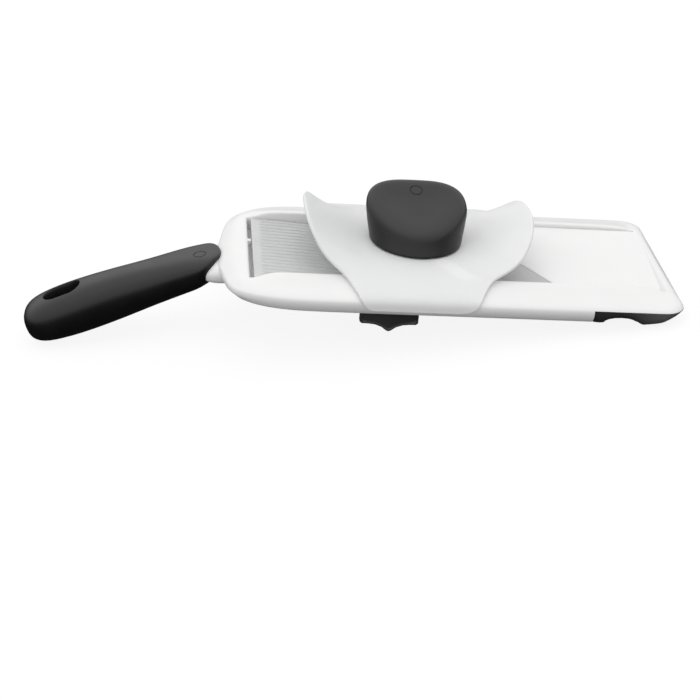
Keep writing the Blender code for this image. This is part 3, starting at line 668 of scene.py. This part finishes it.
def ridge_height(x):
    """The ridge rises along the shoulder and sinks again into the end border."""
    rise = RIDGE_Z * smoothstep(0.0, RIDGE_FULL_X, x)
    return rise - (RIDGE_Z - DECK_TOP_Z - 0.05) * smoothstep(RIDGE_SINKS_X, WINDOW_END_X, x)


def frame_section(outer, inner, edge_z, skirt_z, side):
    """Closed section of the hollow frame, listed from the side round over the top."""
    start = Vector((outer[0], outer[1] * side))
    reach = Vector((inner[0], inner[1] * side)) - start
    inward = reach.normalized()
    width = reach.length
    ridge_z = ridge_height(inner[0])
    dome = 1.0 - smoothstep(-10.0, RIDGE_FULL_X, outer[0])
    crown = smoothstep(222.0, 232.0, outer[0])
    middle_z = edge_z + (ridge_z - edge_z) * (0.5 + 0.32 * dome + 0.36 * crown)

    def at(inset, z):
        point = start + inward * inset
        return (point.x, point.y, z)

    slope = (ridge_z - edge_z) / width
    return [
        at(0.0, edge_z - 3.6), at(0.15, edge_z - 1.8), at(0.65, edge_z - 0.6),
        at(1.7, edge_z + 0.05), at(3.4, edge_z + slope * 3.4 * (1.0 + 0.8 * crown) + 0.15),
        at(width / 2, middle_z), at(width - 3.2, ridge_z - 0.1), at(width - 1.4, ridge_z - 0.05),
        at(width - 0.4, ridge_z - 0.5), at(width, ridge_z - 1.7),
        at(width, WALL_BOTTOM_Z + 0.5), at(width - 0.4, WALL_BOTTOM_Z),
        at(width - WALL + 0.4, WALL_BOTTOM_Z), at(width - WALL, WALL_BOTTOM_Z + 0.5),
        at(width - WALL, ridge_z - 0.7 - WALL), at(width / 2, middle_z - WALL),
        at(WALL + 1.2, edge_z - WALL), at(WALL, edge_z - 3.8),
        at(5.2, skirt_z + 1.4), at(4.8, skirt_z + 0.2), at(4.2, skirt_z),
        at(3.3, skirt_z + 0.4), at(1.2, skirt_z + 2.4),
    ]


def make_body():
    """Railed frame with its deck, neck collar and the small shapes moulded under it."""
    half = frame_stations()
    far = [frame_section(*station, 1.0) for station in half]
    near = [frame_section(*station, -1.0) for station in half[-2:0:-1]]
    body = smooth_form(draw_out("white_body", far + near, wrap=True), 2)
    combine(body, make_deck(), "UNION")
    combine(body, new_block("hinge_trough", (-1.0, 4.6), (-41.0, 41.0), (WALL_BOTTOM_Z, -7.7), 0.3), "UNION")
    combine(body, make_neck_collar(), "UNION")
    combine(body, new_block("foot_pad", (200.0, 228.2), (-41.0, 41.0), (-2.0, 0.4), 0.3), "UNION")
    combine(body, new_block("hinge_lug", (-1.0, 1.5), (8.4, 11.2), (-4.2, -0.5), 0.3), "UNION")
    combine(body, new_block("guide", (24.0, 122.0), (-45.4, -41.0), (WALL_BOTTOM_Z, -7.2), 0.3), "UNION")
    combine(body, draw_out("far_groove", FAR_GROOVE))
    combine(body, grip_mesh("grip_seat", 0.22))
    combine(body, new_block("foot_bay", (FOOT_X - GAP, 250.0), (-70.0, 70.0), (-25.0, FOOT_TOP_Z + GAP)))
    combine(body, plate("blade_slot", slanted(BLADE_X - 0.8, DECK_X + 15.0, 45.4), -1.1, 0.25))
    shade(body, 40.0)
    set_down(body, "frame", "white_plastic", FINISH["white"], "body_frame")


DECK_HALF = 41.2
DECK_END_X = WINDOW_END_X + 2.3
DECK_LIP = [
    # height, how far the deck's front edge lies behind its middle line
    (-0.8, 1.0), (0.3, 1.0), (0.5, 1.4), (0.8, 3.0), (1.2, 6.0), (1.5, 9.5), (DECK_TOP_Z, 14.0),
]


def make_deck():
    """Landing deck behind the blade, with a sloped and rounded front edge."""
    rings = []
    for z, back in DECK_LIP:
        front = DECK_X + back
        rings.append([
            (front - SLANT * DECK_HALF, -DECK_HALF, z), (DECK_END_X, -DECK_HALF, z),
            (DECK_END_X, DECK_HALF, z), (front + SLANT * DECK_HALF, DECK_HALF, z)])
    return draw_out("deck", rings)


# Narrow gap between the deck and the far rail, widening towards the foot
FAR_GROOVE = [
    [(166.0, 40.30, 0.9), (166.0, 40.10, 0.9), (166.0, 40.05, 2.0), (166.0, 40.30, 2.0)],
    [(227.4, 40.45, 0.2), (227.4, 39.35, 0.2), (227.4, 39.25, 2.0), (227.4, 40.45, 2.0)],
]


COLLAR_SIDES = 24
COLLAR_STATIONS = [
    # x, half width, top, bottom
    (-3.0, 18.0, -5.0, -12.0), (-8.0, 20.4, -4.9, -16.4), (-14.0, 20.0, -5.1, -17.8),
    (-18.5, 18.8, -5.9, -18.0), (-22.0, 17.2, -7.8, -17.8), (-24.6, 15.0, -10.6, -16.8),
]


def make_neck_collar():
    """Collar that carries the grip's tongue and runs smoothly into the shoulder."""
    rings = []
    for x, half, top, bottom in COLLAR_STATIONS:
        ring = []
        for step in range(COLLAR_SIDES):
            turn = 2.0 * math.pi * step / COLLAR_SIDES
            across = math.copysign(abs(math.cos(turn)) ** 0.7, math.cos(turn))
            upward = math.copysign(abs(math.sin(turn)) ** 0.7, math.sin(turn))
            ring.append((x, half * across, (top + bottom) / 2 + (top - bottom) / 2 * upward))
        rings.append(ring)
    return smooth_form(draw_out("neck_collar", rings), 1)


# ---------------------------------------------------------------- handle grip
GRIP_SIDES = 32
GRIP_STATIONS = [
    # distance along the grip, half width, half height
    (3.0, 16.9, 9.2), (10.0, 16.9, 9.9), (22.0, 16.4, 10.7), (34.0, 16.2, 11.7), (46.0, 16.3, 12.7),
    (57.0, 16.7, 13.3), (68.0, 17.3, 13.6), (78.0, 17.8, 13.5), (86.0, 17.9, 13.0), (93.0, 17.5, 12.3),
    (98.5, 16.1, 11.3), (102.4, 13.6, 9.6), (104.9, 10.2, 7.3), (106.0, 6.0, 4.4),
]
GRIP_BOW = 7.6
GRIP_FRONT = Vector((-23.2, 0.0, -10.1))
HANG_HOLE_AT = 80.5
HANG_HOLE_SIZE = (21.0, 13.5)
HANG_HOLE_SIDES = 40
HANG_HOLE_FLARE = [
    # height over the grip's centre line, how far the hole opens there
    (-20.0, 2.6), (-13.4, 1.1), (-12.2, 0.45), (-10.4, 0.0),
    (10.4, 0.0), (12.2, 0.45), (13.4, 1.1), (20.0, 2.6),
]
GRIP_FRONT_SIZE = (16.1, 7.8)
GRIP_FRONT_SHARES = (0.3, 0.7, 0.95)
GRIP_RING_AT = (-27.0, -3.0)


def handle_axis(distance):
    """Point on the grip's centre line, measured along it from the joint."""
    return HANDLE_START + Vector((-math.cos(HANDLE_DROOP), 0.0, -math.sin(HANDLE_DROOP))) * distance


def grip_section(centre, up, half_width, half_height, bow, square, share=1.0):
    """Rounded section, or a share of it; the bow carries it forward at its middle.

    The upper face is flatter than the underside, and both turn squarer towards the body.
    """
    ring = []
    for step in range(GRIP_SIDES):
        turn = 2.0 * math.pi * step / GRIP_SIDES
        across = share * math.copysign(abs(math.cos(turn)) ** (0.82 - 0.22 * square), math.cos(turn))
        fullness = 0.80 - 0.20 * square if math.sin(turn) > 0.0 else 0.98 - 0.30 * square
        upward = share * math.copysign(abs(math.sin(turn)) ** fullness, math.sin(turn))
        point = centre + up * half_height * upward
        ring.append((point.x + bow * (1.0 - across * across), half_width * across, point.z))
    return ring


def grip_mesh(name, grow):
    """The grip, grown by a margin when it cuts its own seat in the body."""
    up = Vector((-math.sin(HANDLE_DROOP), 0.0, math.cos(HANDLE_DROOP)))
    front_up = Vector((0.08, 0.0, 0.997))
    front = GRIP_FRONT + Vector((grow, 0.0, 0.0))
    front_width, front_height = GRIP_FRONT_SIZE
    rings = [
        grip_section(front, front_up, front_width + grow, front_height + grow, GRIP_BOW, 1.0, share)
        for share in GRIP_FRONT_SHARES
    ]
    for distance, half_width, half_height in GRIP_STATIONS:
        lean = front_up.lerp(up, min(distance / 22.0, 1.0)).normalized()
        rings.append(grip_section(
            handle_axis(distance), lean, half_width + grow, half_height + grow,
            GRIP_BOW * max(0.0, 0.5 - distance / 20.0), max(0.0, 1.0 - distance / 30.0)))
    return smooth_form(draw_out(name, rings), 2)


def hole_ring(length, width, height):
    """Slot outline with round ends, standing across the grip at the hang hole."""
    straight = (length - width) / 2
    ring = []
    for step in range(HANG_HOLE_SIDES):
        turn = 2.0 * math.pi * step / HANG_HOLE_SIDES
        flat = Vector((
            math.copysign(straight, math.cos(turn)) + width / 2 * math.cos(turn),
            width / 2 * math.sin(turn), height))
        ring.append(handle_axis(HANG_HOLE_AT) + Matrix.Rotation(-HANDLE_DROOP, 3, "Y") @ flat)
    return ring


def make_grip():
    """Grip with its hang hole, and a small plain ring sunk into its front end."""
    grip = grip_mesh("handle", 0.0)
    length, width = HANG_HOLE_SIZE
    rings = []
    for height, flare in HANG_HOLE_FLARE:
        rings.append(hole_ring(length + 2 * flare, width + 2 * flare, height))
    combine(grip, draw_out("hang_hole", rings))
    sink_ring(grip, *GRIP_RING_AT)
    shade(grip, 50.0)
    set_down(grip, "frame", "black_rubber", FINISH["rubber"], "handle_grip")


# ---------------------------------------------------------------- blade
BLADE_TOP_Z = 0.2
BLADE_BOTTOM_Z = -0.8
BLADE_BEVEL = 5.0


def make_blade():
    """Slanted blade, with its lower front edge drawn back into a bevel."""
    blade = plate("cutting_blade", slanted(BLADE_X, DECK_X + 14.6, 45.0), BLADE_BOTTOM_Z, BLADE_TOP_Z)
    pick_edges(blade, lambda edge: (
        abs(middle(edge).x - SLANT * middle(edge).y - BLADE_X) < 0.1 and middle(edge).z < -0.5))
    bpy.ops.transform.translate(value=(BLADE_BEVEL * MM, 0.0, 0.0))
    bpy.ops.object.mode_set(mode="OBJECT")
    shade(blade, 20.0)
    set_down(blade, "frame", "blade_steel", FINISH["blade"], "blade")


# ---------------------------------------------------------------- ramp
RAMP_START_X = 1.9
RAMP_TOP = 2.8
RAMP_THICKNESS = 2.6
RAMP_HALF = 39.6
RAMP_LIP = 1.9
RAMP_REST = math.radians(3.3)
RIB_START_X = 6.3
RIB_PITCH = 4.3
RIB_COUNT = 18
RIB_HEIGHT = 0.85
# distance from a rib's middle line, share of its height
RIB_SHAPE = [(-2.15, 0.0), (-1.15, 0.06), (-0.75, 0.7), (0.0, 1.0), (0.75, 0.7), (1.15, 0.06)]


def ramp_top_row(x, fade):
    """Heights across the ramp at one X, with the ribs raised by the given share."""
    first = -(RIB_COUNT - 1) / 2 * RIB_PITCH
    row = [(x, -RAMP_HALF, RAMP_TOP)]
    for rib in range(RIB_COUNT):
        for offset, share in RIB_SHAPE:
            row.append((x, first + rib * RIB_PITCH + offset, RAMP_TOP + RIB_HEIGHT * share * fade))
    row.append((x, first + (RIB_COUNT - 0.5) * RIB_PITCH, RAMP_TOP))
    row.append((x, RAMP_HALF, RAMP_TOP))
    return row


def make_ramp():
    """Ribbed ramp, shaped flat about its hinge and then turned down to its place."""
    start = RAMP_START_X - HINGE.x
    ribs = RIB_START_X - HINGE.x
    low = RAMP_TOP - RAMP_THICKNESS
    rows = []
    for x, fade in ((start, 0.0), (start + 0.5, 0.0), (ribs - 0.6, 0.0), (ribs, 0.35), (ribs + 0.9, 0.8),
                    (ribs + 2.4, 1.0), (70.0, 1.0), (130.0, 1.0)):
        rows.append(ramp_top_row(x, fade) + [(x, RAMP_HALF, low), (x, -RAMP_HALF, low)])
    ramp = draw_out("ribbed_ramp", rows)
    combine(ramp, new_rod("barrel", 2.3, 78.2, (0.0, 0.0, 0.0), CROSSWISE), "UNION")
    combine(ramp, new_block("follower", (51.0, 56.2), (-38.0, -31.0), (-2.4, 1.5), 0.7), "UNION")
    combine(ramp, new_block("stiffener", (8.0, 62.0), (-1.2, 1.2), (-2.0, 0.9), 0.3), "UNION")
    edge = BLADE_X - RAMP_LIP - HINGE.x
    combine(ramp, plate("edge_trim", slanted(edge, edge + 100.0, 60.0), -10.0, 10.0))
    combine(ramp, new_rod("barrel_bore", 1.35, 84.0, (0.0, 0.0, 0.0), CROSSWISE))
    ramp.matrix_world = Matrix.Translation(HINGE * MM) @ Matrix.Rotation(RAMP_REST, 4, "Y")
    shade(ramp, 30.0)
    set_down(ramp, "ramp", "clear_plastic", FINISH["clear"], "ramp")


# ---------------------------------------------------------------- thickness tab
TAB_X = 74.5
TAB_LENGTH = 31.6
TAB_TOP_Z = -10.6
TAB_LOW_Z = -17.2
TAB_POINT_Z = -21.6
TAB_BACK_Y = -52.5
TAB_FACE_Y = -57.4
TAB_ROWS = [
    # y, inset of the outline: a raised rim round a sunk face
    (TAB_BACK_Y, 0.6), (TAB_BACK_Y - 0.5, 0.0), (TAB_FACE_Y + 0.9, 0.0), (TAB_FACE_Y + 0.3, 0.2),
    (TAB_FACE_Y + 0.04, 0.55), (TAB_FACE_Y, 0.85), (TAB_FACE_Y + 0.15, 1.15), (TAB_FACE_Y + 0.5, 1.4),
    (TAB_FACE_Y + 0.6, 1.8), (TAB_FACE_Y + 0.6, 2.4),
]


def tab_outline(inset):
    """Front view of the tab: a rounded bar with a short pointer below its middle."""
    half = TAB_LENGTH / 2 - inset
    top = TAB_TOP_Z - 0.3 * inset
    low = TAB_LOW_Z + inset
    point = TAB_POINT_Z + inset * 1.3
    side = [
        (8.0, top), (half - 1.2, top), (half, top - 1.2), (half, (top + low) / 2), (half, low + 0.9),
        (half - 1.0, low), (11.0, low - 0.1), (7.5, low - 0.5), (4.0, low - 1.8), (1.3, point + 0.5),
    ]
    right = [(TAB_X + along, z) for along, z in side]
    left = [(TAB_X - along, z) for along, z in reversed(side)]
    return [(TAB_X, top)] + right + [(TAB_X, point)] + left


def make_tab():
    rings = [[(x, y, z) for x, z in tab_outline(inset)] for y, inset in TAB_ROWS]
    tab = draw_out("thickness_lever", rings)
    combine(tab, new_block("tab_flange", (65.5, 83.5), (-53.5, -45.0), (-15.1, -12.7), 0.4), "UNION")
    shade(tab, 35.0)
    set_down(tab, "slider", "black_rubber", FINISH["tab"], "thickness_tab")


# ---------------------------------------------------------------- end foot
FOOT_END_X = 234.9
REST_X = 212.5
REST_Z = -11.9
REST_LENGTH = 7.0
FOOT_ROWS = [
    # distance from the middle, rise of the rounded underside
    (63.25, 6.4), (62.9, 5.2), (62.2, 3.7), (61.0, 2.2), (59.0, 0.9), (57.0, 0.25), (54.0, 0.0),
    (43.0, 0.0), (30.0, 0.0), (15.0, 0.0), (0.0, 0.0),
]


def foot_profile():
    """Side view of the foot: a block, a hollow for a bowl's rim, and the lobe it stands on."""
    rise = REST_LENGTH * math.tan(math.asin(-ALONG.z))
    hollow = [
        (199.5 + 9.5 * math.sin(math.radians(turn)), -11.6 + 4.0 * math.cos(math.radians(turn)))
        for turn in (-84, -66, -44, -22, 0, 22, 44, 60)
    ]
    return (
        [(FOOT_X, FOOT_TOP_Z), (FOOT_X, -5.0), (FOOT_X + 0.1, -10.2), (FOOT_X + 0.8, -11.1), (188.0, -11.35)]
        + hollow
        + [(209.1, -10.05), (210.3, -10.85), (211.4, -11.45), (212.7, REST_Z + 0.12),
           (REST_X + REST_LENGTH / 2, REST_Z + rise / 2), (REST_X + REST_LENGTH, REST_Z + rise),
           (221.4, -10.4), (223.2, -9.7), (225.8, -8.6), (228.8, -7.1),
           (231.6, -5.3), (233.8, -3.5), (FOOT_END_X, FOOT_TOP_Z), (225.0, FOOT_TOP_Z), (210.0, FOOT_TOP_Z),
           (197.0, FOOT_TOP_Z)]
    )


def foot_ring(y, raised):
    """The side view carried to a place across the slicer, inside the body's rounded corner."""
    corner_x = END_X - CORNER_RADIUS
    past = max(abs(y) - (HALF_WIDTH - CORNER_RADIUS), 0.0)
    radius = CORNER_RADIUS - 0.4
    limit = corner_x + math.sqrt(max(radius * radius - past * past, 0.0)) + 0.1
    ring = []
    for x, z in foot_profile():
        if x > corner_x:
            x = corner_x + (x - corner_x) * (limit - corner_x) / (FOOT_END_X - corner_x)
        depth = (FOOT_TOP_Z - z) * (1.0 - raised / (FOOT_TOP_Z - REST_Z))
        tuck = 0.12 * raised if x < FOOT_X + 5.0 else 0.0
        ring.append((x + tuck, y, FOOT_TOP_Z - depth))
    return ring


def make_foot():
    """Foot with its mouth for a bowl's rim and the bores of its two screws."""
    far = [foot_ring(y, raised) for y, raised in FOOT_ROWS]
    near = [foot_ring(-y, raised) for y, raised in FOOT_ROWS[-2::-1]]
    foot = draw_out("rubber_foot", far + near)
    combine(foot, new_block("foot_mouth", (181.0, 200.5), (-43.0, 43.0), (-20.0, 0.0), 1.5))
    for y in (-26.0, 26.0):
        combine(foot, new_rod("head_bore", 3.2, 14.4, (216.0, y, -12.8)))
    shade(foot, 40.0)
    set_down(foot, "frame", "black_rubber", FINISH["foot"], "end_foot")


# ---------------------------------------------------------------- food holder
HOLDER_ROWS = [
    # y, height of the plate's middle, left end, right end, lift of the wings' tips
    (-65.05, -5.6, 63.4, 111.0, 0.0), (-65.05, -4.4, 61.0, 117.0, 0.0), (-65.05, -2.6, 59.2, 119.8, 0.0),
    (-64.4, -0.7, 58.0, 121.2, 0.0), (-62.8, 0.6, 57.0, 122.3, 0.0), (-60.0, 1.5, 56.3, 123.2, 0.0),
    (-56.0, 2.4, 54.8, 124.8, 0.0), (-51.0, 3.5, 52.6, 127.2, 0.3), (-46.5, 4.5, 50.2, 129.8, 1.1),
    (-43.0, 5.15, 46.6, 135.8, 2.6), (-40.0, 5.7, 41.9, 141.9, 4.7), (-36.0, 6.3, 37.8, 147.2, 8.0),
    (-32.0, 6.8, 34.9, 150.1, 11.2), (-27.0, 7.2, 32.6, 152.4, 14.4), (-20.0, 7.2, 30.6, 154.4, 17.6),
    (-10.0, 7.2, 29.3, 155.7, 19.9), (0.0, 7.2, 29.0, 156.0, 20.6), (10.0, 7.2, 29.3, 155.7, 19.9),
    (20.0, 7.2, 30.6, 154.6, 18.2), (27.0, 7.2, 32.2, 153.2, 15.6), (32.0, 6.8, 34.3, 150.9, 12.5),
    (36.0, 6.3, 36.5, 148.5, 9.3), (40.0, 5.7, 39.1, 145.6, 5.8), (43.0, 5.2, 41.2, 143.4, 3.9),
    (46.5, 4.6, 43.1, 141.6, 2.5), (51.0, 3.7, 44.7, 140.2, 1.4), (56.0, 2.7, 45.9, 139.1, 0.6),
    (60.0, 1.7, 47.1, 137.9, 0.2), (62.8, 0.6, 48.3, 136.7, 0.0), (64.4, -0.7, 50.0, 135.0, 0.0),
    (65.05, -2.6, 52.5, 132.5, 0.0), (65.05, -4.4, 57.0, 128.0, 0.0), (65.05, -5.6, 64.5, 120.5, 0.0),
]
HOLDER_STEPS = 24
WING_START = 0.45
PLATE_THICKNESS = 1.9


def wing_curve(t):
    """Share of the wing's lift at a share t of the way out to its tip."""
    return (max(t - WING_START, 0.0) / (1.0 - WING_START)) ** 1.7


def make_holder():
    """Winged plate, bent from a flat grid and given its thickness and eased edges."""
    free_hands()
    bpy.ops.mesh.primitive_grid_add(
        x_subdivisions=HOLDER_STEPS, y_subdivisions=len(HOLDER_ROWS) - 1, size=MM)
    holder = named("winged_holder")
    for index, vertex in enumerate(holder.data.vertices):
        row, step = divmod(index, HOLDER_STEPS + 1)
        y, z, left, right, lift = HOLDER_ROWS[row]
        t = step / HOLDER_STEPS
        x = left + (right - left) * t
        vertex.co = Vector((x, y, z + lift * wing_curve(abs(2.0 * t - 1.0)))) * MM
    smooth_form(holder, 1)
    apply_modifier(holder, "SOLIDIFY", thickness=PLATE_THICKNESS * MM, offset=0.0, use_even_offset=True)
    pick_edges(holder, lambda edge: edge.is_manifold and edge.calc_face_angle() > math.radians(60.0))
    bpy.ops.mesh.bevel(offset=0.55 * MM, segments=3, affect="EDGES")
    bpy.ops.object.mode_set(mode="OBJECT")
    shade(holder, 60.0)
    set_down(holder, "holder", "frosted_plastic", FINISH["frosted"], "holder_shell")


# ---------------------------------------------------------------- palm knob
KNOB_SIDES = 48
KNOB_RADIUS = 26.0
KNOB_NEAR_STRETCH = 1.07
KNOB_RING_Y = 14.0
KNOB_TOP_HALF = 28.8
KNOB_TOP_MIDDLE_Y = 4.0
KNOB_TOP_FAR = 21.6
KNOB_TOP_NEAR = 28.2
KNOB_TOP_FULLNESS = 0.70
KNOB_TOP_Z = 26.975
KNOB_TOP_SLOPE = 0.335
KNOB_RINGS = [
    # share of the height, share of the way from the base circle to the top outline, inset
    (0.0, 0.0, 2.4), (0.0, 0.0, 0.5), (0.03, 0.0, 0.0), (0.10, 0.04, 0.0), (0.35, 0.4, 0.0),
    (0.62, 0.76, 0.0), (0.80, 0.95, 0.1), (0.91, 1.0, 0.6), (0.97, 1.0, 1.6), (1.01, 1.0, 3.2),
    (1.025, 1.0, 6.0), (1.015, 1.0, 10.0), (0.995, 1.0, 15.0), (0.98, 1.0, 19.0),
]


def knob_top_outline(turn):
    """Rounded top outline, full at the far corners and drawn to a blunt point at the near side."""
    across = math.cos(turn)
    along = math.sin(turn)
    if along > 0.0:
        half_width = math.copysign(abs(across) ** KNOB_TOP_FULLNESS, across) * KNOB_TOP_HALF
        return Vector((half_width, KNOB_TOP_MIDDLE_Y + KNOB_TOP_FAR * along ** KNOB_TOP_FULLNESS))
    half_width = KNOB_TOP_HALF - 5.5 * along ** 2 * (1.0 + along)
    return Vector((half_width * across * (1.0 + 0.16 * along), KNOB_TOP_MIDDLE_Y + KNOB_TOP_NEAR * along))


def make_knob():
    """Rubber knob, lofted from a round base to its sloping top."""
    rings = []
    for share, morph, inset in KNOB_RINGS:
        ring = []
        for step in range(KNOB_SIDES):
            turn = 2.0 * math.pi * step / KNOB_SIDES
            base = Vector((math.cos(turn), math.sin(turn))) * KNOB_RADIUS
            base.y *= KNOB_NEAR_STRETCH if base.y < 0.0 else 1.0
            plan = base.lerp(knob_top_outline(turn), morph)
            plan -= (plan - Vector((0.0, 2.0))).normalized() * inset
            top = KNOB_TOP_Z + KNOB_TOP_SLOPE * plan.y
            ring.append((HOLDER_X + plan.x, plan.y, KNOB_BASE_Z + (top - KNOB_BASE_Z) * share))
        rings.append(ring)
    knob = smooth_form(draw_out("palm_grip", rings), 1)
    sink_ring(knob, HOLDER_X, KNOB_RING_Y)
    shade(knob, 50.0)
    set_down(knob, "holder", "black_rubber", FINISH["rubber"], "palm_knob", "knob_core")


# ---------------------------------------------------------------- small hardware kept from the CAD
def dress_hardware():
    """Plated steel on screws, pin, spring and prongs; white plastic on the clamp and the wedge."""
    for name, node in NODES.items():
        if node.hide_render:
            continue
        finish = "screw"
        if name in ("wedge_bar", "blade_clamp"):
            finish = "white"
        node.data.materials.clear()
        node.data.materials.append(FINISH[finish])


def write_sizes():
    """Brings the view layer up to date; no boxes are measured or written."""
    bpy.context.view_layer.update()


make_camera()
make_studio()
make_overhead_light()
make_floor()
FINISH = make_finishes()
make_body()
make_grip()
make_blade()
make_ramp()
make_tab()
make_foot()
make_holder()
make_knob()
dress_hardware()
write_sizes()
free_hands()
